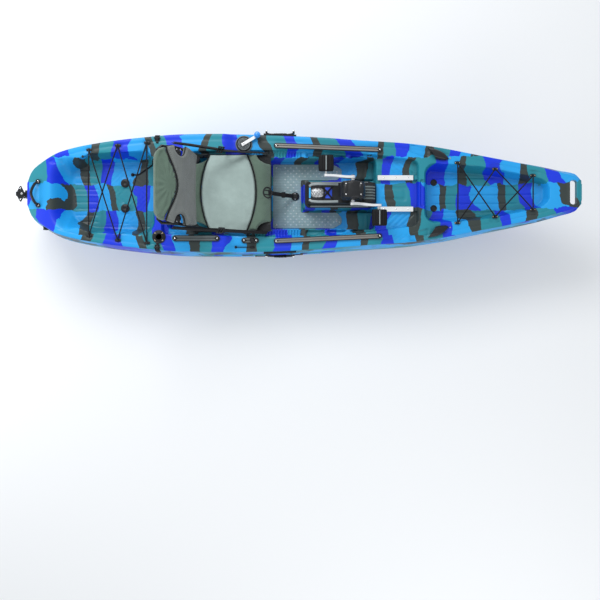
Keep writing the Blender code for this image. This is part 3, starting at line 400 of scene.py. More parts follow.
def flat(width, thick):
    """The section of a strap, its edges rounded."""
    w, t = width / 2, thick / 2
    return [(-w, -t * 0.5), (t - w, -t), (w - t, -t), (w, -t * 0.5), (w, t * 0.5), (w - t, t),
            (t - w, t), (-w, t * 0.5)]


class Mold:
    """Collects bodies of one piece: sweeps, turned shapes and plates."""

    def __init__(self):
        self.verts, self.faces = [], []

    def rings(self, rings, closed=False, caps=True):
        start, n, count = len(self.verts), len(rings[0]), len(rings)
        for ring in rings:
            self.verts += [tuple(p) for p in ring]
        for i in range(count if closed else count - 1):
            a, b = start + i * n, start + (i + 1) % count * n
            self.faces += [(a + j, a + (j + 1) % n, b + (j + 1) % n, b + j) for j in range(n)]
        if caps and not closed:
            self.faces += [tuple(range(start, start + n)),
                           tuple(range(start + (count - 1) * n, start + count * n))]
        return self

    def sweep(self, path, section, up=(0, 0, 1), closed=False, turn=None):
        """A section of (side, up) offsets carried along a path; turn(share) rolls it."""
        path = [Vector(p) for p in path]
        count, rings = len(path), []
        for i, p in enumerate(path):
            after = path[(i + 1) % count] if closed or i + 1 < count else p
            before = path[i - 1] if closed or i else p
            along = (after - before).normalized()
            side = along.cross(Vector(up)).normalized()
            lift = side.cross(along)
            roll = turn(i / (count - 1)) if turn else 0.0
            u, v = side * cos(roll) + lift * sin(roll), lift * cos(roll) - side * sin(roll)
            rings.append([p + u * a + v * b for a, b in section])
        return self.rings(rings, closed)

    def turned(self, places, profile, axis=(0, 0, 1), sides=24):
        """A profile of (radius, height) turned about an axis at each place."""
        turn = Vector(axis).to_track_quat("Z", "Y")
        for place in places:
            self.rings([[Vector(place) + turn @ Vector((r * x, r * y, h))
                         for x, y in circle(1.0, sides)] for r, h in profile])
        return self

    def ball(self, place, size, bumps=lambda u, v: 1.0, steps=16):
        """A rounded body; bumps(u, v) swells it by its turn and its height, both -1 to 1."""
        rings = []
        for i in range(1, steps):
            tilt = pi * (i / steps - 0.5)
            rings.append([(place[0] + size[0] * cos(tilt) * cos(a) * bumps(a / pi, sin(tilt)),
                           place[1] + size[1] * cos(tilt) * sin(a) * bumps(a / pi, sin(tilt)),
                           place[2] + size[2] * sin(tilt))
                          for a in (2 * pi * k / (2 * steps) - pi for k in range(2 * steps))])
        return self.rings(rings)

    def plate(self, outline, low, high, edge=0.0015, place=lambda u, v, w: (u, v, w)):
        """A plate from a closed (u, v) outline, its top edge rounded over."""
        levels = [(0.0, low), (0.0, high - edge), (0.3 * edge, high - 0.3 * edge), (edge, high)]
        return self.rings([[place(u, v, w) for u, v in inset(outline, d)] for d, w in levels])

    def block(self, low, high, edge=0.002):
        """An upright box with rounded upright edges and a rounded top."""
        (x0, y0, z0), (x1, y1, z1) = low, high
        return self.plate(corner_box(x0, y0, x1, y1, edge * 1.5), z0, z1, edge)

    def piece(self, name, mat, body="hull", slot=None, smooth_angle=40.0):
        return mesh_piece(name, self.verts, self.faces, mat, body, smooth_angle)


def inset(outline, distance):
    """A closed outline moved inwards; it runs anticlockwise."""
    points = np.array(outline, float)
    along = np.roll(points, -1, axis=0) - np.roll(points, 1, axis=0)
    along /= np.linalg.norm(along, axis=1, keepdims=True)
    return points + distance * np.stack([-along[:, 1], along[:, 0]], axis=1)


def round_corners(outline, radius, steps=4):
    """A closed outline with its corners rounded."""
    out = []
    count = len(outline)
    for i, corner in enumerate(outline):
        here = np.array(corner, float)
        before, after = np.array(outline[i - 1]) - here, np.array(outline[(i + 1) % count]) - here
        reach = [min(radius, 0.45 * np.linalg.norm(side)) for side in (before, after)]
        start, end = (here + side / np.linalg.norm(side) * r
                      for side, r in zip((before, after), reach))
        for t in np.arange(steps + 1) / steps:
            out.append((1 - t) ** 2 * start + 2 * t * (1 - t) * here + t * t * end)
    return out


def corner_box(x0, y0, x1, y1, radius):
    """A box's outline with its corners rounded."""
    return round_corners([(x0, y0), (x1, y0), (x1, y1), (x0, y1)], radius)


PAN_HEAD = [(1.0, -0.2), (1.0, 0.15), (0.88, 0.42), (0.62, 0.56), (0.46, 0.58), (0.42, 0.30),
            (0.05, 0.26)]          # a socket screw's head, for a radius of 1


def screws(name, places, radius, mat, body="hull", axis=(0, 0, 1), slot="steel"):
    head = [(r * radius, h * radius) for r, h in PAN_HEAD]
    return Mold().turned(places, head, axis, 14).piece(name, mat, body, slot)


# ---- hull -------------------------------------------------------------------
# The same lines as the CAD hull's: (x, value).
HALF_BEAM = [(-1.83, 0.095), (-1.80, 0.165), (-1.73, 0.224), (-1.60, 0.294), (-1.334, 0.350),
             (-1.07, 0.383), (-0.80, 0.405), (-0.52, 0.409), (-0.20, 0.403), (0.12, 0.387),
             (0.38, 0.367), (0.70, 0.345), (0.91, 0.317), (1.17, 0.267), (1.437, 0.2145),
             (1.57, 0.185), (1.70, 0.149), (1.79, 0.122), (1.83, 0.075)]
SHEER = [(-1.83, 0.295), (-1.70, 0.320), (-1.25, 0.346), (-0.52, 0.346), (-0.45, 0.320),
         (-0.19, 0.320), (0.56, 0.345), (1.34, 0.342), (1.57, 0.360), (1.70, 0.373),
         (1.83, 0.378)]
KEEL = [(-1.83, 0.235), (-1.80, 0.050), (-1.45, 0.043), (-1.07, 0.022), (-0.69, 0.003),
        (-0.43, 0.0), (0.20, 0.0), (0.58, 0.022), (0.96, 0.048), (1.34, 0.060),
        (1.57, 0.078), (1.622, 0.149), (1.698, 0.276), (1.774, 0.327), (1.83, 0.362)]
KNUCKLE = [(-1.83, 0.262), (-1.72, 0.207), (-1.26, 0.173), (-0.40, 0.140), (0.0, 0.140),
           (0.86, 0.187), (1.20, 0.220), (1.70, 0.318), (1.83, 0.369)]
CHINE_SHARE = [(-1.83, 0.60), (-1.60, 0.66), (-0.5, 0.74), (0.5, 0.70), (1.10, 0.52),
               (1.57, 0.30), (1.70, 0.55), (1.83, 0.80)]
GUNWALE_LEAN, GUNWALE_ROLL = 0.018, 0.010
LEDGE_Z, FLOOR_Z, CONSOLE_Z, TANK_Z = 0.300, 0.165, 0.240, 0.200
PLUG_X, PLUG_Y = -1.20, 0.085              # the tank well's two scupper plugs
SCUPPER_X, SCUPPER_Y = 0.889, 0.087        # the fore well's two open scuppers
ROD_HOLDER_X, ROD_HOLDER_Y = -0.944, -0.290
LEDGE_RIB = 0.0195                         # from one rib of the ledge to the next
BOW_ANCHORS = [(1.022, 0.198), (1.270, 0.157), (1.515, 0.112)]
STERN_ANCHORS = [(-1.406, 0.284), (-1.215, 0.312), (-1.023, 0.330)]
TANK_HALF = [(-1.56, 0.152), (-1.40, 0.215), (-0.99, 0.232)]
RECESS_HALF = [(-0.93, 0.262), (-0.35, 0.276), (0.05, 0.282), (0.42, 0.250), (0.77, 0.205)]
FORE_HALF = [(0.84, 0.163), (1.17, 0.140), (1.45, 0.095), (1.60, 0.062)]
FORE_FLOOR = [(0.80, 0.225), (0.86, 0.215), (1.17, 0.228), (1.45, 0.250), (1.60, 0.285)]
RING_ROWS, DECK_COLUMNS = 570, 121         # the hull's mesh: rings along X, points across


def straight(table, x):
    return np.interp(x, [p[0] for p in table], [p[1] for p in table])


def fair(table, x):
    """A smooth curve through the table that doesn't overshoot it."""
    xs, ys = (np.array(c, float) for c in zip(*table))
    h, d = np.diff(xs), np.diff(ys) / np.diff(xs)
    slope = np.zeros(len(xs))
    slope[0], slope[-1] = d[0], d[-1]
    same = d[:-1] * d[1:] > 0
    w0, w1 = 2 * h[1:] + h[:-1], h[1:] + 2 * h[:-1]
    with np.errstate(divide="ignore", invalid="ignore"):
        slope[1:-1] = np.where(same, (w0 + w1) / (w0 / d[:-1] + w1 / d[1:]), 0.0)
    i = np.clip(np.searchsorted(xs, x) - 1, 0, len(h) - 1)
    t = (x - xs[i]) / h[i]
    return ((1 + 2 * t) * (1 - t) ** 2 * ys[i] + t * (1 - t) ** 2 * h[i] * slope[i]
            + t * t * (3 - 2 * t) * ys[i + 1] + t * t * (t - 1) * h[i] * slope[i + 1])


def ease(t):
    t = np.clip(t, 0.0, 1.0)
    return t * t * (3 - 2 * t)


def band(x, low, high, soft=0.010):
    """1 between low and high, falling to 0 over soft outside."""
    return ease((x - low) / soft + 1) * ease((high - x) / soft + 1)


def inside(x, a, x0, x1, y0, y1, radius, wall):
    """1 inside a box with round corners, falling to 0 over the width of its wall."""
    dx = np.maximum(x0 + radius - x, x - (x1 - radius))
    dy = np.maximum(y0 + radius - a, a - (y1 - radius))
    away = np.hypot(np.maximum(dx, 0), np.maximum(dy, 0)) \
        + np.minimum(np.maximum(dx, dy), 0) - radius
    return 1 - ease(away / wall)


def line_of(d, width):
    """The section of a narrow rib or groove at a distance from its middle."""
    return np.exp(-(d / width) ** 2)


def deck_edge(x):
    return fair(HALF_BEAM, x) - GUNWALE_LEAN - GUNWALE_ROLL


def deck_height(x, y):
    """The deck with its wells, ledges, ribs and pockets."""
    a = np.abs(y)
    z = fair(SHEER, x)
    z = z - 0.003 * line_of(a - (deck_edge(x) - 0.026), 0.005) * band(x, -1.60, 1.60, 0.05)
    z = deck_pockets(z, x, y, a)
    z = tank_well(z, x, a)
    z = cockpit(z, x, a)
    return fore_well(z, x, a)


def deck_pockets(z, x, y, a):
    """Shallow shapes in the deck around the grips, rod hoods and lashing eyes."""
    z = z - 0.007 * inside(x, a, -1.800, -1.760, -1, 0.050, 0.02, 0.010)
    rim = inside(x, a, 1.745, 1.806, -1, 0.090, 0.03, 0.010)
    z = z + 0.004 * rim - 0.004 * inside(x, a, 1.757, 1.793, -1, 0.078, 0.02, 0.006)
    middle = 0.262 + (0.83 - x) * 0.30
    z = z - 0.008 * inside(x, a - middle, 0.715, 0.828, -0.022, 0.022, 0.012, 0.012)
    for k in range(3):
        s = (x - 0.60 - 0.035 * k) + (a - 0.29) * 1.2
        z = z - 0.003 * line_of(s, 0.004) * band(a, 0.272, 0.310, 0.006) * band(x, 0.56, 0.72)
    for ax, ay in BOW_ANCHORS[1:]:
        box = (ax - 0.030, ax + 0.038, ay - 0.03, ay + 0.030)
        z = z - 0.005 * inside(x, a, *box, 0.012, 0.007)
    for ax, ay in STERN_ANCHORS:
        z = z - 0.003 * inside(x, a, ax - 0.022, ax + 0.022, ay - 0.018, ay + 0.014, 0.01, 0.006)
    return z - 0.006 * inside(x, y, -1.665, -1.590, 0.200, 0.222, 0.008, 0.008)


def tank_well(z, x, a):
    half = straight(TANK_HALF, x)
    floor = TANK_Z
    for k in range(1, 5):
        floor = floor - 0.0035 * line_of(a - 0.044 * k, 0.0045) * band(x, -1.53, -1.385)
    floor = floor + 0.003 * line_of(a, 0.004) * band(x, -1.54, -1.375)
    floor = floor - 0.005 * ease((x + 1.362) / 0.012)
    diamond = np.abs(x + 1.19) + a
    for k in range(5):
        floor = floor - 0.003 * line_of(diamond - 0.06 - 0.034 * k, 0.0045) \
            * band(x, -1.315, -1.045) * band(a, -1, 0.185)
    for k in (0.190, 0.208):
        floor = floor - 0.003 * line_of(a - k, 0.004) * band(x, -1.33, -1.03)
    boss = inside(x, a, PLUG_X - 0.030, PLUG_X + 0.030, PLUG_Y - 0.030, PLUG_Y + 0.030,
                  0.012, 0.006)
    floor = floor + (TANK_Z - 0.0005 - floor) * boss
    wall = 0.050 + 0.085 * ease((-1.47 - x) / 0.13)
    return z + (floor - z) * inside(x, a, -1.545, -1.014, -1, half, 0.055, wall)


def cockpit(z, x, a):
    half = straight(RECESS_HALF, x)
    ribs = 0.5 - 0.5 * np.cos(2 * pi * x / LEDGE_RIB)
    ledge = LEDGE_Z - 0.008 * ribs * band(x, -0.364, -0.006, 0.004) \
        * band(a, 0.2450, 0.2745, 0.0030)
    for x0, x1 in ((0.030, 0.145), (0.172, 0.290), (0.316, 0.420)):
        ledge = ledge - 0.016 * inside(x, a, x0, x1, 0.2475, half - 0.012, 0.008, 0.008)
    for k in range(6):
        s = x + a - 0.665 - 0.042 * k
        ledge = ledge - 0.005 * line_of(s, 0.006) * band(x, 0.515, 0.735) \
            * band(a, 0.134, half - 0.016, 0.004)
    tray = inside(x, a, 0.525, 0.690, -1, 0.046, 0.012, 0.005)
    tongue = inside(x, a, 0.50, 0.672, -1, 0.022, 0.008, 0.005)
    ledge = ledge - 0.005 * tray + 0.0045 * tongue * band(x, 0.53, 1.0)
    z = z + (ledge - z) * inside(x, a, -0.918, 0.757, -1, half, 0.030, 0.012)
    block = inside(x, a, 0.741, 0.772, 0.091, 0.117, 0.004, 0.004)
    z = z + np.maximum(0.323 - z, 0) * block
    z = z - 0.009 * inside(x, a, 0.781, 0.798, -1, 0.086, 0.006, 0.005)
    floor = FLOOR_Z
    console = inside(x, a, 0.012, 0.60, -1, 0.092, 0.020, 0.012)
    toe = inside(x, a, 0.378, 0.60, -1, 1.0, 0.01, 0.095)
    floor = floor + 0.018 * toe * band(a, 0.115, 0.30, 0.01)
    for k in range(4):
        floor = floor + 0.003 * line_of(x - 0.335 - 0.034 * k, 0.006) \
            * band(a, 0.130, 0.205, 0.006)
    floor = floor + (CONSOLE_Z - floor) * console
    return z + (floor - z) * inside(x, a, -0.888, 0.478, -1, 0.226, 0.024, 0.013)


def fore_well(z, x, a):
    half = straight(FORE_HALF, x)
    floor = straight(FORE_FLOOR, x)
    for k in range(3):
        floor = floor - 0.004 * line_of(a - 0.058 * k, 0.005) \
            * band(x, 0.880, 1.56 - 0.13 * k, 0.02) * band(a, -1, half - 0.012, 0.01)
    wall = 0.040 - 0.012 * ease((x - 1.2) / 0.4)
    return z + (floor - z) * inside(x, a, 0.842, 1.600, -1, half, 0.040, wall)


def row_places():
    """Places of the hull's rings along X, closer together at ribs and ends of wells."""
    x = np.linspace(-1.83, 1.83, 4001)
    weight = 1.0 + 2.8 * band(x, -0.38, 0.01, 0.02)
    for end in (-1.83, -1.56, -0.985, -0.905, 0.465, 0.765, 0.825, 1.62, 1.83):
        weight = weight + 1.3 * line_of(x - end, 0.035)
    total = np.concatenate([[0], np.cumsum((weight[1:] + weight[:-1]) / 2)])
    return np.interp(np.linspace(0, total[-1], RING_ROWS), total, x)


def deck_places(xs):
    """Places of the deck's columns across each ring, closer together on steep walls."""
    share = np.linspace(-1, 1, 401)
    edge = deck_edge(xs)
    y = edge[:, None] * share[None, :]
    z = deck_height(xs[:, None] + 0 * y, y)
    step = np.hypot(np.diff(y, axis=1), 1.6 * np.diff(z, axis=1)) + 0.0006
    along = np.concatenate([np.zeros((len(xs), 1)), np.cumsum(step, axis=1)], axis=1)
    even = np.linspace(0, 1, DECK_COLUMNS)
    rows = np.array([np.interp(even * s[-1], s, share) for s in along])
    rows = (rows - rows[:, ::-1]) / 2
    padded = np.pad(rows, ((2, 2), (0, 0)), "edge")
    rows = sum(padded[k:k + len(xs)] for k in range(5)) / 5
    return rows * edge[:, None]


def corner_cut(points):
    """Each corner of a row of points cut twice, the ends kept."""
    for _ in range(2):
        cut = [points[0]]
        for p, q in zip(points, points[1:]):
            cut += [0.75 * p + 0.25 * q, 0.25 * p + 0.75 * q]
        points = cut + [points[-1]]
    return points


def side_places(xs):
    """The starboard half of the rings below the deck, from the gunwale to the keel: a list
    of (y, z) rows, y as a distance from the centreline."""
    beam, sheer, keel = fair(HALF_BEAM, xs), fair(SHEER, xs), fair(KEEL, xs)
    knuckle, share = fair(KNUCKLE, xs), fair(CHINE_SHARE, xs)
    keel = np.minimum(keel, knuckle - 0.004)
    top = beam - GUNWALE_LEAN
    rows = []
    for k in range(1, 5):
        angle = pi / 2 * k / 4
        rows.append(np.array([top - GUNWALE_ROLL + GUNWALE_ROLL * sin(angle),
                              sheer - GUNWALE_ROLL + GUNWALE_ROLL * cos(angle)]))
    for t in (0.88, 0.76, 0.66, 0.62, 0.585, 0.55, 0.515, 0.48, 0.40, 0.28, 0.16, 0.06):
        ridge = 0.0065 * line_of(t - 0.55, 0.040) * band(xs, -0.66, 0.24, 0.06)
        swell = 0.004 * sin(pi * t) * band(xs, -1.2, 1.2, 0.4)
        rows.append(np.array([beam + (top - beam) * t + ridge + swell,
                              knuckle + (sheer - GUNWALE_ROLL - knuckle) * t]))
    chine = beam * share
    rise = np.minimum(0.035, 0.35 * (knuckle - keel))
    corners = [np.array([beam + 0.0012, knuckle]),
               np.array([beam - 0.004, knuckle - 0.004 * band(xs, -1.7, 1.6, 0.1)]),
               np.array([(chine + beam) / 2 + 0.02 * beam, keel + rise + 0.25 * (knuckle - keel)]),
               np.array([chine, keel + 0.45 * rise]),
               np.array([chine * 0.6, keel]), np.array([0 * keel, keel])]
    return rows + [corners[0]] + corner_cut(corners[1:])


def make_hull():
    xs = row_places()
    deck_y = deck_places(xs)
    deck_z = deck_height(xs[:, None] + 0 * deck_y, deck_y)
    side = side_places(xs)
    columns = [(deck_y[:, k], deck_z[:, k]) for k in range(DECK_COLUMNS)]
    columns += [(y, z) for y, z in side]
    columns += [(-y, z) for y, z in reversed(side[:-1])]
    count = len(columns)
    verts = np.empty((RING_ROWS, count, 3))
    verts[:, :, 0] = xs[:, None]
    for k, (y, z) in enumerate(columns):
        verts[:, k, 1], verts[:, k, 2] = y, z
    index = np.arange(RING_ROWS * count).reshape(RING_ROWS, count)
    after = np.roll(index, -1, axis=1)
    quads = np.stack([index[:-1], index[1:], after[1:], after[:-1]], axis=-1).reshape(-1, 4)
    faces = [tuple(q) for q in quads.tolist()]
    faces.append(tuple(index[0].tolist()))
    faces.append(tuple(index[-1][::-1].tolist()))
    hull = mesh_piece("hull_shell", verts.reshape(-1, 3).tolist(), faces, camo(), None)
    # the keel slot, the bow grip's slot, the rod holder's bore, scuppers and the drain
    cutters = [round_prism("cut_drive", 0.165, 0.475, 0.050, 0.030, -0.1, 0.45),
               round_prism("cut_bow", 1.753, 1.797, 0.080, 0.018, 0.1, 0.5),
               upright("cut_rod", ROD_HOLDER_X, ROD_HOLDER_Y, 0.12, 0.5, 0.024)]
    for s in (-1, 1):
        cutters += [upright(f"cut_scupper{s}", SCUPPER_X, s * SCUPPER_Y, -0.1, 0.4, 0.017),
                    upright(f"cut_plug{s}", PLUG_X, s * PLUG_Y, -0.1, 0.3, 0.0193)]
    cutters.append(rod("cut_drain", (-1.72, -0.34, 0.25), (-1.72, -0.16, 0.25), 0.0185))
    for cutter in cutters:
        mod = hull.modifiers.new("Cut", "BOOLEAN")
        mod.operation = "DIFFERENCE"
        mod.object = cutter
        mod.solver = "MANIFOLD"
    applied(hull)
    for cutter in cutters:
        bpy.data.objects.remove(cutter, do_unlink=True)
    hull.data.shade_smooth()
    hull.data.set_sharp_from_angle(angle=radians(38))
    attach(hull, "hull")
    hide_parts("hull")


def loose(name, bm):
    """An object of this mesh that isn't a piece yet."""
    mesh = bpy.data.meshes.new(name)
    bmesh.ops.recalc_face_normals(bm, faces=bm.faces)
    bm.to_mesh(mesh)
    bm.free()
    obj = bpy.data.objects.new(name, mesh)
    bpy.context.collection.objects.link(obj)
    return obj


def rod(name, start, end, radius, sides=32):
    start, end = Vector(start), Vector(end)
    bm = bmesh.new()
    bmesh.ops.create_cone(bm, cap_ends=True, segments=sides, radius1=radius, radius2=radius,
                          depth=(end - start).length)
    turn = (end - start).to_track_quat("Z", "Y").to_matrix().to_4x4()
    bmesh.ops.transform(bm, matrix=Matrix.Translation((start + end) / 2) @ turn, verts=bm.verts)
    return loose(name, bm)


def upright(name, x, y, low, high, radius):
    return rod(name, (x, y, low), (x, y, high), radius)


def prism(name, outline, low, high):
    """An upright block on a closed outline."""
    bm = bmesh.new()
    rows = [[bm.verts.new((x, y, z)) for x, y in outline] for z in (low, high)]
    count = len(outline)
    for i in range(count):
        bm.faces.new((rows[0][i], rows[0][(i + 1) % count], rows[1][(i + 1) % count], rows[1][i]))
    for row in rows:
        bm.faces.new(row)
    return loose(name, bm)


def round_prism(name, x0, x1, half, radius, low, high):
    """An upright block with round corners."""
    outline = []
    for cx, cy, start in ((x1 - radius, half - radius, 0), (x0 + radius, half - radius, 90),
                          (x0 + radius, radius - half, 180), (x1 - radius, radius - half, 270)):
        for k in range(9):
            angle = radians(start + 90 * k / 8)
            outline.append((cx + radius * cos(angle), cy + radius * sin(angle)))
    return prism(name, outline, low, high)


# ---- soft goods --------------------------------------------------------------
VOXEL = 0.005
CUT_THICK = 0.02           # a pad's flat slab, before it is placed
CLOTH_FRAMES = 20
SEAM_GAP = 0.0025          # from a seam to the edge of the pad on each side


def edge_distance(points, outline):
    """How far each point lies from a closed outline."""
    best = np.full(len(points), 1e9)
    for a, b in zip(outline, np.roll(outline, -1, axis=0)):
        side = b - a
        t = np.clip(((points - a) @ side) / max(side @ side, 1e-12), 0, 1)
        best = np.minimum(best, np.linalg.norm(points - a - t[:, None] * side, axis=1))
    return best


def swell(obj, held, pressure, shrink, most):
    """Cloth simulation: the pad fills like a cushion while its sewn edge stays; a point moves
    no further than most."""
    start = np.array([v.co for v in obj.data.vertices])
    group = obj.vertex_groups.new(name="sewn")
    group.add([int(i) for i in np.nonzero(held)[0]], 1.0, "REPLACE")
    cloth_mod = obj.modifiers.new("Cloth", "CLOTH")
    settings = cloth_mod.settings
    settings.quality = 4
    settings.mass = 0.25
    settings.use_pressure = True
    settings.uniform_pressure_force = pressure
    settings.shrink_min = settings.shrink_max = shrink
    settings.bending_stiffness = 0.8
    settings.effector_weights.gravity = 0.0
    settings.vertex_group_mass = "sewn"
    cloth_mod.collision_settings.use_collision = False
    scene = bpy.context.scene
    for number in range(1, CLOTH_FRAMES + 1):
        scene.frame_set(number)
    applied(obj)
    scene.frame_set(1)
    end = np.array([v.co for v in obj.data.vertices])
    move = end - start
    reach = np.linalg.norm(move, axis=1, keepdims=True)
    end = start + move * np.minimum(1.0, most / np.maximum(reach, 1e-9))
    obj.data.vertices.foreach_set("co", end.ravel())
    obj.data.update()


def pad(name, outline, place, mat, body, edge=0.03, most=0.008, pressure=4.0, shrink=-0.01,
        folds=None):
    """A sewn, filled pad. outline is its flat cut; place(s, t, w) puts it in space, with w from
    0 underneath to 1 on top; folds(s, t) raises its face, in metres."""
    outline = np.array(outline, float)
    obj = prism(name, outline, 0.0, CUT_THICK)
    remesh = obj.modifiers.new("Remesh", "REMESH")
    remesh.mode = "VOXEL"
    remesh.voxel_size = VOXEL
    applied(obj)
    flat_co = np.array([v.co for v in obj.data.vertices])
    away = edge_distance(flat_co[:, :2], outline)
    crown = np.sqrt(np.clip(1 - (1 - np.minimum(away / edge, 1.0)) ** 2, 0.0, 1.0))
    share = np.clip(flat_co[:, 2] / CUT_THICK, 0.0, 1.0)
    share = 0.42 + (share - 0.42) * (0.25 + 0.75 * crown)
    spots = np.array([place(s, t, w) for (s, t), w in zip(flat_co[:, :2], share)])
    obj.data.vertices.foreach_set("co", spots.ravel())
    obj.data.update()
    swell(obj, away < 1.3 * VOXEL, pressure, shrink, most)
    smooth = obj.modifiers.new("Smooth", "SMOOTH")
    smooth.factor, smooth.iterations = 0.5, 2
    subdivide = obj.modifiers.new("Subdivide", "SUBSURF")
    subdivide.levels = subdivide.render_levels = 1
    if folds:
        layer = obj.data.attributes.new("cut_place", "FLOAT_VECTOR", "POINT")
        layer.data.foreach_set("vector", np.column_stack([flat_co[:, :2], share]).ravel())
    applied(obj)
    if folds:
        fold_face(obj, folds)
    obj.data.materials.clear()
    obj.data.materials.append(mat)
    obj.data.shade_smooth()
    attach(obj, body)
    return obj


def fold_face(obj, folds):
    """Moves the face of a pad along its normals by folds(s, t)."""
    mesh = obj.data
    count = len(mesh.vertices)
    cut_place = np.empty(count * 3)
    mesh.attributes["cut_place"].data.foreach_get("vector", cut_place)
    cut_place = cut_place.reshape(-1, 3)
    normals = np.empty(count * 3)
    mesh.vertices.foreach_get("normal", normals)
    spots = np.empty(count * 3)
    mesh.vertices.foreach_get("co", spots)
    lift = folds(cut_place[:, 0], cut_place[:, 1]) * ease((cut_place[:, 2] - 0.5) / 0.3)
    spots = spots.reshape(-1, 3) + normals.reshape(-1, 3) * lift[:, None]
    mesh.vertices.foreach_set("co", spots.ravel())
    mesh.attributes.remove(mesh.attributes["cut_place"])
    mesh.update()


# The seat pan's profile along X, and where its three covers are sewn together
SEAT_TOP = [(-0.726, 0.347), (-0.690, 0.355), (-0.600, 0.353), (-0.500, 0.350), (-0.420, 0.353),
            (-0.350, 0.364), (-0.292, 0.384), (-0.270, 0.381), (-0.238, 0.357), (-0.205, 0.331)]
SEAT_LOW = 0.3240
SEAT_ENDS, SEAT_HALF = (-0.726, -0.207), 0.249
# The back's rear face, as in the CAD: (x, z, lean, half-width, thickness)
BACK_STATIONS = [(-0.690, 0.462, radians(15), 0.200, 0.020),
                 (-0.714, 0.552, radians(15), 0.216, 0.024),
                 (-0.736, 0.628, radians(20), 0.222, 0.030),
                 (-0.757, 0.668, radians(40), 0.222, 0.040),
                 (-0.800, 0.702, radians(58), 0.216, 0.046),
                 (-0.872, 0.742, radians(62), 0.188, 0.036)]
BACK_TUBE_R = 0.0095
BACK_ARC = np.concatenate([[0.0], np.cumsum([
    float(np.hypot(q[0] - p[0], q[1] - p[1])) for p, q in zip(BACK_STATIONS, BACK_STATIONS[1:])])])
BACK_LENGTH = float(BACK_ARC[-1])


def back_value(s, column):
    """A column of the back's stations at a distance up it."""
    return fair(list(zip(BACK_ARC, [row[column] for row in BACK_STATIONS])), s)


def seat_seam_aft(y):
    return -0.668 + 0.058 * (y / SEAT_HALF) ** 2


def seat_seam_fore(y):
    return -0.303 - 0.060 * (y / SEAT_HALF) ** 2


def seat_place(x, y, w):
    top = fair(SEAT_TOP, x) + 0.006 * (y / SEAT_HALF) ** 2
    return (x, y, SEAT_LOW + (top - SEAT_LOW) * w)


def back_place(s, t, w):
    """A point of the back: s up it, t across it, w through it from the rear."""
    s = min(max(s, 0.0), BACK_LENGTH)
    lean = back_value(s, 2)
    forward = w * back_value(s, 4) - BACK_TUBE_R + 0.010 * (t / 0.22) ** 2 * w
    return (back_value(s, 0) + forward * cos(lean), t, back_value(s, 1) + forward * sin(lean))


def head_place(s, t, w):
    """A point of the head pad, which wraps back over the frame's crossbar."""
    wrap = float(ease((s - (BACK_LENGTH - 0.055)) / 0.055))
    x, _, z = back_place(s, t, w)
    lean = back_value(min(s, BACK_LENGTH), 2)
    beyond, behind = max(s - BACK_LENGTH, 0.0), -0.026 * wrap * (1.0 - w)
    return (x + behind * cos(lean) - beyond * sin(lean), t,
            z + behind * sin(lean) + beyond * cos(lean))


def back_seam(t):
    """The bell-shaped seam between the mesh and the head pad, at a share across the back."""
    return BACK_LENGTH - 0.033 - 0.072 * cos(pi / 2 * min(abs(t), 1.0)) ** 1.5


BACK_LAP = 0.021
NOTCH_AT, NOTCH_HALF, NOTCH_DEEP = 0.222, 0.044, 0.066


def back_edge(s):
    """Half-width of the back's cover, which laps over the frame's tubes, with its notches."""
    half = float(back_value(s, 3)) + BACK_LAP
    inwards = 1 - ((s - NOTCH_AT) / NOTCH_HALF) ** 2
    return half - NOTCH_DEEP * inwards ** 0.5 if inwards > 0 else half


def corner_bite(x0, y0, dx, dy, steps=7):
    """A quarter of an ellipse bitten out of a corner, from its X side to its Y side."""
    return [(x0 + dx * cos(a), y0 + dy * sin(a)) for a in np.linspace(0, pi / 2, steps)]


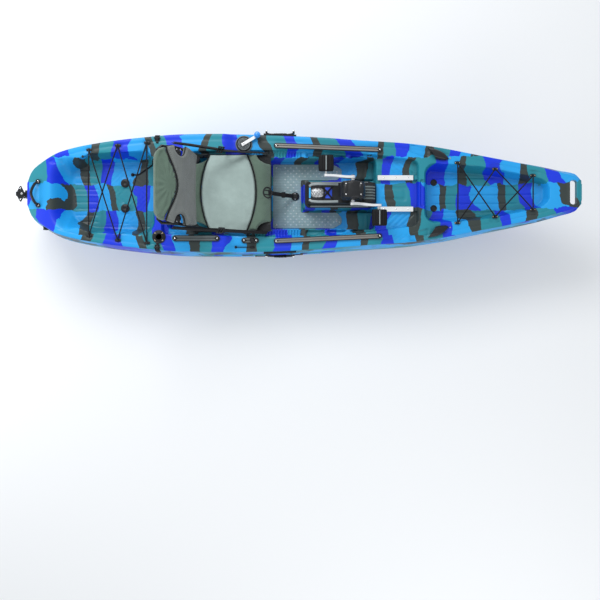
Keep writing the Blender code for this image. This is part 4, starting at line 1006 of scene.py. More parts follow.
def make_seat(kit):
    across = np.linspace(-SEAT_HALF, SEAT_HALF, 25)
    aft, fore = SEAT_ENDS
    centre = [(seat_seam_fore(y) - SEAM_GAP, y) for y in across] \
        + [(seat_seam_aft(y) + SEAM_GAP, y) for y in across[::-1]]
    pan = pad("seat_pan_mesh", centre, seat_place, kit["mesh_pan"], "seat", 0.022, 0.006, 4.0,
              0.0, lambda s, t: 0.0006 * np.sin(55 * s + 9 * np.sin(14 * t)))
    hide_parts("seat_cushion")
    for name, seam_at, end, dx, dy in (("seat_pan_fore", seat_seam_fore, fore, -0.092, 0.060),
                                       ("seat_pan_aft", seat_seam_aft, aft, 0.112, 0.060)):
        off = SEAM_GAP if end == fore else -SEAM_GAP
        inner = [(seam_at(y) + off, y) for y in across]
        port = corner_bite(end, SEAT_HALF, dx, -dy)
        outline = inner + port + [(x, -y) for x, y in reversed(port)]
        if end == fore:
            outline = outline[::-1]
        pad(name, outline, seat_place, kit["olive"], "seat", 0.016, 0.006, 4.0, -0.01,
            lambda s, t: 0.0010 * np.sin(70 * t + 20 * s) * np.sin(31 * t + 1.0))
    mold = Mold()
    for seam_at in (seat_seam_aft, seat_seam_fore):
        mold.sweep([seat_place(seam_at(y), y, 0.93) for y in across], circle(0.0042))
    for sign in (-1, 1):
        xs = np.linspace(seat_seam_aft(SEAT_HALF), seat_seam_fore(SEAT_HALF), 20)
        mold.sweep([seat_place(x, sign * (SEAT_HALF + 0.001), 0.55) for x in xs], circle(0.0035))
    mold.sweep([(fore + 0.001, y, 0.3285) for y in np.linspace(-0.188, 0.188, 16)],
               circle(0.0036))
    mold.piece("seat_piping", kit["piping"], "seat", "webbing")
    corners = Mold()
    for x0, dx, dy in ((fore, -0.098, 0.066), (aft, 0.056, 0.062)):
        for sign in (-1, 1):
            bite = corner_bite(x0, sign * (SEAT_HALF + 0.004), dx, -sign * dy, 9)
            outline = [(x0, sign * (SEAT_HALF + 0.004))] + bite
            if (sign > 0) == (dx > 0):
                outline = outline[::-1]
            corners.plate(outline, 0.3245, 0.3325, 0.002)
            for k in (0.28, 0.62):
                corners.sweep([(x0 + dx * k * cos(a), sign * (SEAT_HALF + 0.004 - dy * k * sin(a)),
                                0.3335) for a in np.linspace(0.1, 1.45, 8)], circle(0.0018, 6))
    corners.piece("seat_corner_plates", kit["satin"], "seat", "black_plastic")
    tabs = Mold()
    for sign in (-1, 1):
        tabs.block((-0.262, sign * 0.262 - 0.006, 0.3165), (-0.236, sign * 0.262 + 0.006, 0.3270))
    tabs.piece("seat_frame_clips", kit["grey"], "seat", "grey_plastic")


def head_folds(s, t):
    """Creases that run out from the middle of the head pad."""
    ds, dt = s - (BACK_LENGTH - 0.062), t
    turn = np.arctan2(ds, dt + 1e-6)
    away = np.hypot(ds * 1.4, dt)
    strength = ease((away - 0.034) / 0.045)
    return 0.0028 * strength * np.sin(15 * turn + 3.0 * np.sin(2.0 * turn) + 14 * away) \
        + 0.0008 * np.sin(95 * dt + 60 * ds) * strength


def make_back(kit):
    side = [(s, back_edge(s)) for s in np.concatenate([
        np.linspace(0.004, NOTCH_AT - NOTCH_HALF, 10),
        NOTCH_AT + NOTCH_HALF * np.sin(np.linspace(-pi / 2, pi / 2, 15))[1:-1],
        np.linspace(NOTCH_AT + NOTCH_HALF, back_seam(1.0) - SEAM_GAP, 5)])]
    wide = side[-1][1] + 0.002
    arch = [(back_seam(k) - SEAM_GAP, k * wide) for k in np.linspace(0.97, -0.97, 37)]
    outline = side + arch + [(s, -t) for s, t in reversed(side)]
    cover = pad("seat_back_mesh", outline, back_place, kit["mesh_back"], "seat_back", 0.016,
                0.005, 3.0, 0.0, lambda s, t: 0.0007 * np.sin(60 * s + 8 * np.sin(12 * t)))
    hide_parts("back_cushion")
    low = [(back_seam(k) + SEAM_GAP, k * wide) for k in np.linspace(-1.0, 1.0, 37)]
    end = BACK_LENGTH + 0.030
    top = [(end - 0.034, wide - 0.008), (end - 0.012, wide - 0.030), (end - 0.002, wide - 0.055)] \
        + [(end, t) for t in np.linspace(0.135, -0.135, 13)] \
        + [(end - 0.002, 0.055 - wide), (end - 0.012, 0.030 - wide), (end - 0.034, 0.008 - wide)]
    pad("seat_head_pad", low + top, head_place, kit["olive"], "seat_back", 0.026, 0.009, 5.0,
        -0.03, head_folds)
    mold = Mold()
    mold.sweep([back_place(back_seam(k), k * wide, 0.90) for k in np.linspace(-1, 1, 45)],
               circle(0.0042), up=(1, 0, 1))
    for sign in (-1, 1):
        mold.sweep([back_place(s, sign * t, 0.5) for s, t in side], circle(0.0034), up=(0, 1, 0))
    mold.sweep([back_place(0.002, t, 0.5) for t in np.linspace(-0.218, 0.218, 17)],
               circle(0.0034))
    mold.piece("seat_back_piping", kit["piping"], "seat_back", "webbing")
    brackets = Mold()
    for sign in (-1, 1):
        spot = np.array(back_place(NOTCH_AT, sign * 0.200, 0.0))
        for k in (-0.5, 0.5):
            brackets.sweep([back_place(NOTCH_AT + 0.030 * k, sign * t, -0.15)
                            for t in np.linspace(0.160, 0.232, 6)], flat(0.018, 0.007),
                           up=(1, 0, 1))
        brackets.turned([spot], [(0.021, -0.006), (0.021, 0.004), (0.017, 0.007), (0.008, 0.008),
                                 (0.006, 0.005), (0.001, 0.005)],
                        (0.75, 0, 0.66), 20)
    brackets.piece("seat_back_knuckles", kit["satin"], "seat_back", "black_plastic")
    bolts = [back_place(NOTCH_AT + 0.030 * k, sign * 0.222, 0.12) for sign in (-1, 1)
             for k in (-0.5, 0.5)]
    screws("seat_back_bolts", bolts, 0.0042, kit["steel"], "seat_back", (0.75, 0, 0.66))


STRAP_WIDE, STRAP_THICK = 0.033, 0.0030
BUCKLE_ALONG = Vector((-0.100, 0, 0.072)).normalized()


def buckle_side(d):
    """A step across the buckle's slanted face."""
    return Vector((0, d * 0.62, 0)) + Vector((0.58, 0, 0.81)) * d * 0.78


def make_straps(kit):
    """The webbing from the back to the seat's frame, with its buckle and loose tail."""
    for sign, tag in SIDES:
        route = [(-0.800, 0.2600, 0.672), (-0.700, 0.2605, 0.598), (-0.600, 0.2590, 0.526),
                 (-0.525, 0.2580, 0.470), (-0.430, 0.2590, 0.415), (-0.330, 0.2610, 0.378),
                 (-0.230, 0.2620, 0.341)]
        path = smooth_path([(x, sign * y, z) for x, y, z in route], 0.012)
        mold = Mold().sweep(path, flat(STRAP_WIDE, STRAP_THICK), up=(0, 0, 1),
                            turn=lambda k: sign * (1.15 - 0.20 * sin(pi * k)))
        upper = smooth_path([(x, sign * (y + 0.004), z + 0.011) for x, y, z in
                             ((-0.790, 0.2600, 0.664), (-0.700, 0.2605, 0.600),
                              (-0.620, 0.2590, 0.541), (-0.540, 0.2580, 0.482))], 0.012)
        mold.sweep(upper, flat(0.021, 0.0024), up=(0, 0, 1), turn=lambda k: sign * 0.85)
        mold.sweep(smooth_path([(-0.545, sign * 0.2665, 0.482), (-0.520, sign * 0.2700, 0.450),
                                (-0.502, sign * 0.2715, 0.405), (-0.492, sign * 0.2710, 0.356)],
                               0.01), flat(0.018, 0.0024), up=(0, sign, 0))
        strap = mold.piece(f"seat_side_strap_{tag}", kit["web"], None, "webbing")
        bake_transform(strap)
        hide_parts(f"seat_strap_{tag}")
        buckle = Mold()
        middle = Vector((-0.530, sign * 0.2590, 0.4750))
        for k in (-0.021, -0.004, 0.013):
            bar = middle + BUCKLE_ALONG * k
            buckle.sweep([bar + buckle_side(d) for d in (-0.023, 0.0, 0.023)],
                         flat(0.010, 0.0095), up=(-0.8, 0, 0.58))
        for d in (-0.0225, 0.0225):
            edge = middle + buckle_side(d)
            buckle.sweep([edge + BUCKLE_ALONG * k for k in (-0.026, 0.0, 0.018)],
                         circle(0.0046, 8), up=(0, 1, 0))
        piece = buckle.piece(f"strap_buckle_{tag}", kit["satin"], None, "black_plastic")
        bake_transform(piece)


HOLD_RING_X, HOLD_RING_HALF = -0.228, 0.034
FLOOR_EYE_X = -0.048


def make_hold_down(kit):
    """The strap from a ring on the seat's front to the eye on the floor."""
    front = SEAT_ENDS[1]
    hook = Mold()
    ring = [(HOLD_RING_X + 0.027 * cos(a), HOLD_RING_HALF * sin(a))
            for a in np.linspace(0, 2 * pi, 33)[:-1]]
    hook.sweep([(x, y, seat_place(min(x, front), y, 1.0)[2] + 0.0065 - 0.25 * max(x - front, 0))
                for x, y in ring], circle(0.0050, 8), closed=True)
    for k in (-0.4, 0.4):
        hook.sweep([(HOLD_RING_X + x, HOLD_RING_HALF * k,
                     seat_place(HOLD_RING_X + x, 0, 1.0)[2] + 0.0075)
                    for x in (-0.022, 0.0, 0.020)], flat(0.007, 0.005))
    hook.piece("hold_down_ring", kit["satin"], "seat", "black_plastic")
    strap = Mold().sweep(smooth_path([(-0.222, 0, 0.352), (-0.196, 0, 0.326), (-0.150, 0, 0.268),
                                      (-0.095, 0, 0.216), (-0.060, 0, 0.187)], 0.012),
                         flat(0.027, 0.0038), up=(0, 0, 1))
    strap.block((-0.140, -0.018, 0.240), (-0.112, 0.018, 0.257), 0.003)
    piece = strap.piece("hold_down_strap", kit["web"], None, "webbing")
    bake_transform(piece)
    Mold().turned([(FLOOR_EYE_X, 0, 0.1696)], [(0.028, 0.0), (0.028, 0.005), (0.023, 0.009),
                                                (0.012, 0.010), (0.011, 0.006), (0.001, 0.006)],
                  sides=28).piece("floor_eye_base", kit["satin"], "hull", "black_plastic")
    screws("floor_eye_screws", [(FLOOR_EYE_X, s * 0.0185, 0.1786) for s in (-1, 1)], 0.0046,
           kit["steel"])


# ---- deck fittings -----------------------------------------------------------
def sheer(x):
    return float(straight(SHEER, x))


def side_y(x, z):
    """Half-width of the topsides at a height above the knuckle."""
    knuckle, top = float(straight(KNUCKLE, x)), sheer(x) - GUNWALE_ROLL
    share = min(max((z - knuckle) / (top - knuckle), 0.0), 1.0)
    return float(straight(HALF_BEAM, x)) - GUNWALE_LEAN * share + 0.004 * sin(pi * share)


def make_tracks(kit):
    """Slotted tracks along the deck, with round end caps and a screw in each."""
    dark, grey = kit["track"], kit["track_grey"]
    for name, node, (x0, y0), (x1, y1), width, height, mat in (
            ("gear_track_port", "gear_track_port", (-0.185, 0.316), (0.523, 0.284),
             0.030, 0.012, dark),
            ("gear_track_starboard", "gear_track_starboard", (-0.185, -0.316), (0.523, -0.284),
             0.030, 0.012, dark),
            ("aft_track", "aft_track_starboard", (-0.853, -0.300), (-0.545, -0.300),
             0.036, 0.010, grey),
            ("short_track", "short_track_starboard", (-0.400, -0.312), (-0.290, -0.312),
             0.034, 0.010, grey)):
        w, slot = width / 2 - 0.001, 0.0045
        section = [(-w, 0.0005), (w, 0.0005), (w, height * 0.72), (w - 0.003, height),
                   (slot, height), (slot, height * 0.35), (-slot, height * 0.35),
                   (-slot, height), (0.003 - w, height), (-w, height * 0.72)]
        path = [(x, y0 + (y1 - y0) * (x - x0) / (x1 - x0), sheer(x))
                for x in np.linspace(x0 + w * 0.6, x1 - w * 0.6, 40)]
        track = Mold().sweep(path, section).piece(f"{name}_rail", mat, "hull",
                                                  "black_plastic", 30)
        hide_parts(node)
        # Black strips along each track's sides: painted shade, a dark part standing in for the
        # shade along the track's edges
        shade_strips = Mold()
        for sign in (-1, 1):
            shade_strips.sweep([(x, y + sign * (w - 0.0005), z + height * 0.5) for x, y, z in path],
                         flat(0.0065, height * 0.96))
        shade_strips.piece(f"{name}_flanks", kit["satin"], "hull", "black_plastic")
        caps = [(x0 + w * 0.9, y0, sheer(x0)), (x1 - w * 0.9, y1, sheer(x1))]
        Mold().turned(caps, [(w + 0.001, 0.0005), (w + 0.001, height * 0.8), (w * 0.85, height),
                             (w * 0.4, height + 0.0004), (0.001, height + 0.0004)], sides=28) \
            .piece(f"{name}_caps", kit["satin"], "hull", "black_plastic")
        screws(f"{name}_screws", [(x, y, z + height + 0.0006) for x, y, z in caps], 0.0058,
               kit["bright"])


HOOD_OUTER = [(0.0, 0.827, 0.294), (0.35, 0.872, 0.288), (0.75, 0.930, 0.262),
              (1.0, 0.966, 0.226)]       # share along the hood, x, distance from the centreline
HOOD_INNER = [(0.0, 0.878, 0.222), (0.35, 0.908, 0.216), (0.75, 0.942, 0.214),
              (1.0, 0.961, 0.221)]


def make_rod_hoods(kit):
    """Hoods over the rod tips: a thin arched shell, cut off slantwise where it is open, aft."""
    for sign, tag in SIDES:
        rings = []
        for k in np.linspace(0.0, 1.0, 26):
            outer, inner = (np.array([float(fair([(row[0], row[c]) for row in edge], k))
                                      for c in (1, 2)]) for edge in (HOOD_OUTER, HOOD_INNER))
            tall = 0.002 + 0.036 * (1 - k ** 2.2) ** 0.6
            skin = []
            for a in np.linspace(0, pi, 15):
                share = 0.5 - 0.5 * cos(a)
                skin.append((share, tall * sin(a) ** 0.8))
            lining = [(0.5 + (u - 0.5) * 0.88, v * 0.90 - 0.0005) for u, v in reversed(skin)]
            ring = []
            for u, v in skin + lining:
                x, y = outer + (inner - outer) * u
                ring.append((x, sign * y, sheer(x) + 0.0006 + max(v, 0.0)))
            rings.append(ring)
        hood = Mold().rings(rings).piece(f"rod_hood_shell_{tag}", kit["satin"], "hull",
                                         "black_plastic", 50)
        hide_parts(f"rod_hood_{tag}")
        screws(f"rod_hood_screws_{tag}", [(0.975, sign * 0.228, sheer(0.975) + 0.0012)], 0.0040,
               kit["brass"])


def make_screws(kit):
    """The screws that hold the deck's fittings."""
    rails = [(x, s * 0.104, 0.3222) for s in (-1, 1) for x in (0.540, 0.620, 0.700)]
    screws("rail_screws", rails, 0.0052, kit["bright"])
    flange = [(ROD_HOLDER_X + 0.034 * cos(a), ROD_HOLDER_Y + 0.034 * sin(a), 0.3515)
              for a in (pi / 4 + pi / 2 * k for k in range(4))]
    screws("rod_holder_screws", flange, 0.0048, kit["brass"])
    screws("stern_grip_bolts", [(-1.750, s * 0.078, sheer(-1.75) + 0.0125) for s in (-1, 1)],
           0.0085, kit["bright"])


GRIP_POSTS, GRIP_SCREW_X, GRIP_SCREW_Z = (-0.238, -0.057), -0.148, 0.276


def make_side_grips(kit):
    """The side grips' bolts, screws and ribbed sleeves."""
    for sign, tag in SIDES:
        out, handle = (0, sign, 0), f"side_handle_{tag}"
        low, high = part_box(handle)
        posts = [(x, sign * abs((low if sign < 0 else high)[1]), 0.3025) for x in GRIP_POSTS]
        screws(f"side_grip_bolts_{tag}", posts, 0.0070, kit["bright"], handle, out)
        skin = side_y(GRIP_SCREW_X, GRIP_SCREW_Z) + 0.0005
        screws(f"side_screw_{tag}", [(GRIP_SCREW_X, sign * skin, GRIP_SCREW_Z)], 0.0055,
               kit["satin"], "hull", out)
        middle = (low[1] + high[1]) / 2
        rings = []
        for k in range(33):
            x = -0.190 + 0.085 * k / 32
            swollen = 0.0098 + 0.0014 * (0.5 - 0.5 * cos(2 * pi * k / 4))
            swollen *= 0.80 if k in (0, 32) else 1.0
            rings.append([(x, middle + u, 0.2205 + v) for u, v in circle(swollen, 14)])
        Mold().rings(rings).piece(f"side_grip_sleeve_{tag}", kit["rubber"], handle,
                                  "black_plastic")


def make_scupper_shade_rims(kit):
    """Black rims round the fore well's scuppers, painted shade standing in for the shade inside
    the holes, and the screws in the foot mat's corners.
    """
    floor = float(straight(FORE_FLOOR, SCUPPER_X))
    holes = [(SCUPPER_X, s * SCUPPER_Y, floor) for s in (-1, 1)]
    # painted shade: the black rims and short liners stand in for the shade inside the scupper
    # holes
    Mold().turned(holes, [(0.0166, -0.012), (0.0168, 0.0012), (0.0200, 0.0026), (0.0225, 0.0006),
                          (0.0222, -0.004)], sides=32) \
        .piece("scupper_shade_rims", kit["satin"], "hull", "black_plastic", 60)
    corners = [(x, s * y, 0.1706) for s in (-1, 1) for x, y in ((-0.176, 0.196), (0.236, 0.168))]
    screws("foot_mat_screws", corners, 0.0060, kit["steel"])


HOOK_X = -0.955            # the paddle's hooks on the gunwales


def lashing(anchors):
    """The route of a closed zigzag lashing, its turns eased round the eyes."""
    (x1, y1), (x2, y2), (x3, y3) = anchors
    stops = [(x1, y1), (x2, -y2), (x3, y3), (x3, -y3), (x2, y2), (x1, -y1)]
    route = []
    for i, (a, b) in enumerate(zip(stops, stops[1:] + stops[:1])):
        leg = float(np.hypot(b[0] - a[0], b[1] - a[1]))
        for t in [0.010 / leg] + list(np.linspace(0.08, 0.92, 13)) + [1 - 0.010 / leg]:
            x, y = a[0] + (b[0] - a[0]) * t, a[1] + (b[1] - a[1]) * t
            over = 0.0095 * sin(pi * t) if i >= 3 else 0.0
            route.append((x, y, sheer(x) + 0.009 + over))
    return route


def make_lashings(kit):
    """The zigzag shock cords over the two wells, with their eyes."""
    for name, anchors, mat in (("bow_bungee", BOW_ANCHORS, kit["brass"]),
                               ("stern_bungee", STERN_ANCHORS, kit["satin"])):
        cord = Mold().sweep(lashing(anchors), circle(0.0044, 10), closed=True) \
            .piece(f"{name}_cord", kit["cord"], "hull", "bungee", 60)
        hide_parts(name)
        eyes, heads = Mold(), []
        for x, y in anchors:
            for sign in (-1, 1):
                out, z = sign * y, sheer(x)
                base = corner_box(x - 0.019, out - 0.009, x + 0.019, out + 0.009, 0.008)
                eyes.plate(base, z - 0.002, z + 0.0042, 0.0012)
                eyes.sweep([(x, out + 0.0095 * cos(a), z + 0.003 + 0.0125 * sin(a))
                            for a in np.linspace(0, pi, 11)], circle(0.0026, 8), up=(1, 0, 0))
                heads += [(x + k * 0.0135, out, z + 0.0044) for k in (-1, 1)]
        eyes.piece(f"{name}_eyes", kit["satin"], "hull", "black_plastic")
        screws(f"{name}_screws", heads, 0.0032, mat)


def make_tether(kit):
    """The cord on the tank well's floor and wall."""
    tether = [(-1.150, 0.143), (-1.110, 0.146), (-1.060, 0.178), (-1.020, 0.206),
              (-0.985, 0.222), (-0.962, 0.230)]
    path = [(p[0], p[1], float(deck_height(np.array([p[0]]), np.array([p[1]]))[0]) + 0.0036)
            for p in smooth_path([(x, y, 0.0) for x, y in tether], 0.006)]
    Mold().sweep(path, circle(0.0042, 8)).turned(
        [path[0]], [(0.011, -0.004), (0.011, 0.002), (0.007, 0.005), (0.001, 0.005)], sides=16) \
        .piece("well_tether", kit["cord"], "hull", "bungee", 60)


PADDLE_CORD_Z, PADDLE_CORD_ENDS = 0.189, (-0.312, -0.003)


def make_paddle_cord(kit):
    """The cord along the starboard side that holds a paddle, with its two ends."""
    path = [(x, -(side_y(x, PADDLE_CORD_Z) + 0.0050 + 0.002 * sin(pi * (x + 0.31) / 0.307)),
             PADDLE_CORD_Z) for x in np.linspace(*PADDLE_CORD_ENDS, 40)]
    cord = Mold().sweep(path, circle(0.0032, 10)).piece("paddle_cord", kit["cord"], "hull",
                                                        "bungee", 60)
    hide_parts("paddle_bungee_starboard")
    hooks, heads = Mold(), []
    for x in PADDLE_CORD_ENDS:
        y = side_y(x, PADDLE_CORD_Z) + 0.0006
        hooks.turned([(x, -y, PADDLE_CORD_Z)], [(0.0085, 0.0), (0.0085, 0.0045),
                                                (0.006, 0.0075), (0.001, 0.0080)],
                     (0, -1, 0), 18)
        heads.append((x, -y - 0.0078, PADDLE_CORD_Z))
    hooks.piece("paddle_cord_ends", kit["satin"], "hull", "black_plastic")
    screws("paddle_cord_screws", heads, 0.0042, kit["brass"], "hull", (0, -1, 0))


TOGGLE_Y = -0.356


def make_toggle(kit):
    """The toggle on the line that lifts the rudder."""
    toggle = [(x, TOGGLE_Y, sheer(x) + 0.0046) for x in np.linspace(-0.435, -0.325, 12)]
    Mold().sweep(toggle, circle(0.0022, 8)).turned(
        [(-0.330, TOGGLE_Y, sheer(-0.33) + 0.0048)],
        [(0.0045, -0.016), (0.0062, -0.010), (0.0062, 0.010), (0.0045, 0.016)], (1, 0, 0), 14) \
        .turned([(-0.440, TOGGLE_Y, sheer(-0.44) + 0.0006)],
                [(0.008, 0.0), (0.008, 0.003), (0.005, 0.0055), (0.001, 0.0055)], sides=16) \
        .piece("rudder_line_toggle", kit["cord"], "hull", "bungee", 60)


def make_paddle_hooks(kit):
    """A hook on each gunwale, beside the tank well."""
    hooks = Mold()
    y, z = float(deck_edge(np.array([HOOK_X]))[0]), sheer(HOOK_X) + 0.0052
    for sign in (-1, 1):
        hooks.sweep([(HOOK_X, sign * (y - 0.030), z - 0.0035), (HOOK_X, sign * (y - 0.012), z),
                     (HOOK_X, sign * (y + 0.006), z + 0.001)], flat(0.013, 0.003))
        hooks.sweep([(x, sign * (y - inwards), z + up) for x, inwards, up in
                     ((-0.976, 0.004, 0.002), (-0.962, 0.009, 0.004), (-0.948, 0.009, 0.004),
                      (-0.934, 0.004, 0.002))], circle(0.0036, 8))
        hooks.block((-0.963, sign * (y - 0.034) - 0.006, z - 0.0045),
                    (-0.947, sign * (y - 0.034) + 0.006, z + 0.0015), 0.0015)
    hooks.piece("paddle_hooks", kit["satin"], "hull", "black_plastic")


MAT_LOW, MAT_TOP, STUD_PITCH = 0.1654, 0.1690, 0.0195


def make_foot_mat(kit):
    """The foam mat round the console, with its rows of studs."""
    starboard = [(-0.009, -0.111), (0.238, -0.111), (0.269, -0.146), (0.269, -0.185),
                 (0.215, -0.217), (-0.199, -0.217)]
    outline = starboard[::-1] + [(x, -y) for x, y in starboard]
    outline = round_corners(outline, 0.013)
    mat = Mold().plate(outline, MAT_LOW, MAT_TOP, 0.0012) \
        .piece("foot_mat_sheet", kit["foam"], "hull", "foam_mat")
    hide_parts("floor_mat")
    spots = [(STUD_PITCH * i, STUD_PITCH * j) for i in range(-6, 14) for j in range(-11, 12)
             if (i + j) % 2 == 0]
    away = edge_distance(np.array(spots), np.array(outline))
    keep = [(x, y, MAT_TOP) for (x, y), d in zip(spots, away) if d > 0.011
            and not (x > -0.012 and abs(y) < 0.116) and within(x, y)]
    Mold().turned(keep, [(0.0058, -0.0006), (0.0056, 0.0006), (0.0042, 0.0013), (0.001, 0.0015)],
                  sides=10).piece("foot_mat_studs", kit["studs"], "hull", "foam_mat", 60)


def within(x, y):
    """Whether a stud is clear of the mat's plain border."""
    return -0.118 < x < 0.262 and abs(y) < 0.208 and abs(y) < 0.208 - max(0, x - 0.205) * 0.55


# ---- pedal drive --------------------------------------------------------------
CRANK_X, CRANK_Z, CRANK_R = 0.325, 0.460, 0.172
HOUSING_R, HOUSING_HALF, HOUSING_ROUND, HOUSING_FOOT = 0.080, 0.0545, 0.017, 0.3456


def base_top(x):
    """Height of the drive's base plate along X."""
    return float(straight([(0.040, 0.335), (0.060, 0.345), (0.345, 0.345), (0.415, 0.362),
                           (0.460, 0.360), (0.481, 0.340)], x))


def housing():
    """The crank housing: an arch over the crank's axle, its side edges rounded."""
    foot = -(CRANK_Z - HOUSING_FOOT)
    arch = [(HOUSING_R * sin(a), HOUSING_R * cos(a)) for a in np.radians(np.arange(-96, 97, 8))]
    arch = [(-0.071, foot), (-0.074, foot * 0.5)] + arch + [(0.074, foot * 0.5), (0.071, foot)]
    rings = []
    edge = HOUSING_ROUND * (1 - np.cos(np.radians(np.arange(15, 91, 15))))
    for y in np.concatenate([[-HOUSING_HALF], -HOUSING_HALF + edge, [0.0]]):
        over = max(0.0, -y - (HOUSING_HALF - HOUSING_ROUND))
        cut_in = HOUSING_ROUND - (HOUSING_ROUND ** 2 - min(over, HOUSING_ROUND) ** 2) ** 0.5
        size = 1 - cut_in / HOUSING_R
        rings.append([(CRANK_X + x * size, float(y), CRANK_Z + (z * size if z > foot else z))
                      for x, z in arch])
    return Mold().rings(rings + [[(x, -y, z) for x, y, z in ring] for ring in rings[-2::-1]])


def make_drive(kit):
    """The pedal drive above deck: housing, hatch, latch, cranks and pedals."""
    mold = housing()
    for sign in (-1, 1):
        mold.turned([(CRANK_X, sign * 0.0535, CRANK_Z)],
                    [(0.046, 0.0), (0.046, 0.0030), (0.041, 0.0055), (0.022, 0.0062),
                     (0.020, 0.0095), (0.0135, 0.0100)], (0, sign, 0), 40)
        lobes = [(CRANK_X + 0.055 * cos(a), sign * 0.0525, CRANK_Z + 0.055 * sin(a))
                 for a in np.radians([18, 90, 162, 214, 326])]
        mold.turned(lobes, [(0.0135, -0.004), (0.0135, 0.0020), (0.0115, 0.0042),
                            (0.0075, 0.0046), (0.0065, 0.0016), (0.001, 0.0014)], (0, sign, 0), 18)
    for x in (CRANK_X - 0.047, CRANK_X + 0.047):
        mold.ball((x, 0.0, CRANK_Z + 0.052), (0.022, 0.050, 0.022))
    shell = mold.piece("drive_housing", kit["satin"], "drive", "black_plastic", 45)
    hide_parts("crank_housing")
    tops = [(CRANK_X + sx * 0.047, sy * 0.034, CRANK_Z + 0.0665) for sx in (-1, 1)
            for sy in (-1, 1)]
    screws("housing_bolts", tops, 0.0052, kit["bright"], "drive")
    ribs = Mold()
    for k in range(-2, 3):
        ribs.sweep([(x, 0.019 * k, base_top(x) + 0.0012) for x in (0.352, 0.415, 0.460, 0.4785)],
                   flat(0.0105, 0.0045))
    ribs.piece("drive_hatch_ribs", kit["grey"], "drive", "grey_plastic")
    # Light grey bars along the base's sides: painted highlights, standing in for the light caught
    # along the base's edges
    bars = Mold()
    for sign in (-1, 1):
        bars.sweep([(x, sign * y, base_top(x) + z) for x, y, z in
                    ((0.046, 0.045, 0.001), (0.062, 0.055, 0.002), (0.100, 0.058, 0.002),
                     (0.170, 0.058, 0.002), (0.236, 0.056, 0.001))], flat(0.015, 0.007))
        bars.sweep([(x, sign * 0.0785, 0.2640) for x in np.linspace(0.055, 0.440, 12)],
                   flat(0.010, 0.005))
    bars.piece("drive_highlight_bars", kit["grey_light"], "drive", "grey_plastic")
    dome = Mold().ball((0.100, 0.0, 0.3450), (0.047, 0.033, 0.0150),
                       lambda u, v: 1 - 0.07 * cos(4 * pi * u))
    dome.piece("drive_latch_dome", kit["silver_knurl"], "drive", "aluminium", 60)
    Mold().block((0.150, -0.036, 0.3435), (0.196, 0.036, 0.3462), 0.003) \
        .piece("drive_latch_window", kit["royal"], "drive", "blue_plastic")
    cross = Mold()
    for sign in (-1, 1):
        cross.sweep(smooth_path([(0.128, sign * 0.044, 0.3475), (0.148, sign * 0.020, 0.3535),
                                 (0.168, -sign * 0.004, 0.3540 + 0.002 * sign),
                                 (0.190, -sign * 0.030, 0.3500), (0.205, -sign * 0.046, 0.3475)],
                                0.006), flat(0.011, 0.0028))
    cross.turned([(0.1655, 0, 0.351)], [(0.012, 0.0), (0.012, 0.006), (0.008, 0.009),
                                        (0.001, 0.009)], sides=20)
    cross.piece("drive_latch_straps", kit["web"], "drive", "webbing")
    Mold().block((0.0445, -0.034, 0.3385), (0.0560, 0.034, 0.3475), 0.002) \
        .piece("drive_latch_tab", kit["azure"], "drive", "blue_plastic")
    for sign, tag in SIDES:
        x = CRANK_X + (CRANK_R if sign < 0 else -CRANK_R)
        make_pedal(kit, x, sign, tag)
        make_arm(kit, x, sign, tag)
        caps = [(CRANK_X, sign * 0.0982, CRANK_Z), (x, sign * 0.0945, CRANK_Z)]
        Mold().turned(caps, [(0.0105, -0.003), (0.0105, 0.0008), (0.0085, 0.0022),
                             (0.0042, 0.0024), (0.0038, 0.0004), (0.0005, 0.0004)],
                      (0, sign, 0), 20).piece(f"crank_caps_{tag}", kit["satin"], "crank",
                                              "black_plastic")


def make_arm(kit, x, sign, tag):
    """A forged arm: round eyes at both ends, a waist between, stepping out to the pedal."""
    out = 1 if x > CRANK_X else -1
    rings = []
    for k in np.linspace(-0.016, CRANK_R + 0.013, 44):
        share = min(max(k / CRANK_R, 0.0), 1.0)
        waist = 0.0165 - 0.0055 * ease(share * 2.2) + 0.0032 * ease((share - 0.80) / 0.2)
        to_end = min(k + 0.0165, CRANK_R + 0.0135 - k)
        tall = waist * min(1.0, max(0.06, (1 - (1 - min(to_end / 0.0145, 1.0)) ** 2))) ** 0.5
        middle = 0.0850 + 0.0110 * ease((share - 0.1) / 0.75)
        thick = 0.0098 - 0.0020 * share
        section = [(thick * u, tall * v) for u, v in
                   ((-0.75, -1), (0.75, -1), (1, -0.72), (1, 0.72), (0.75, 1), (-0.75, 1),
                    (-1, 0.72), (-1, -0.72))]
        rings.append([(CRANK_X + out * k, sign * (middle + u), CRANK_Z + v) for u, v in section])
    arm = Mold().rings(rings).piece(f"crank_forging_{tag}", kit["alloy"], "crank", "aluminium", 35)
    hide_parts(f"crank_arm_{tag}")


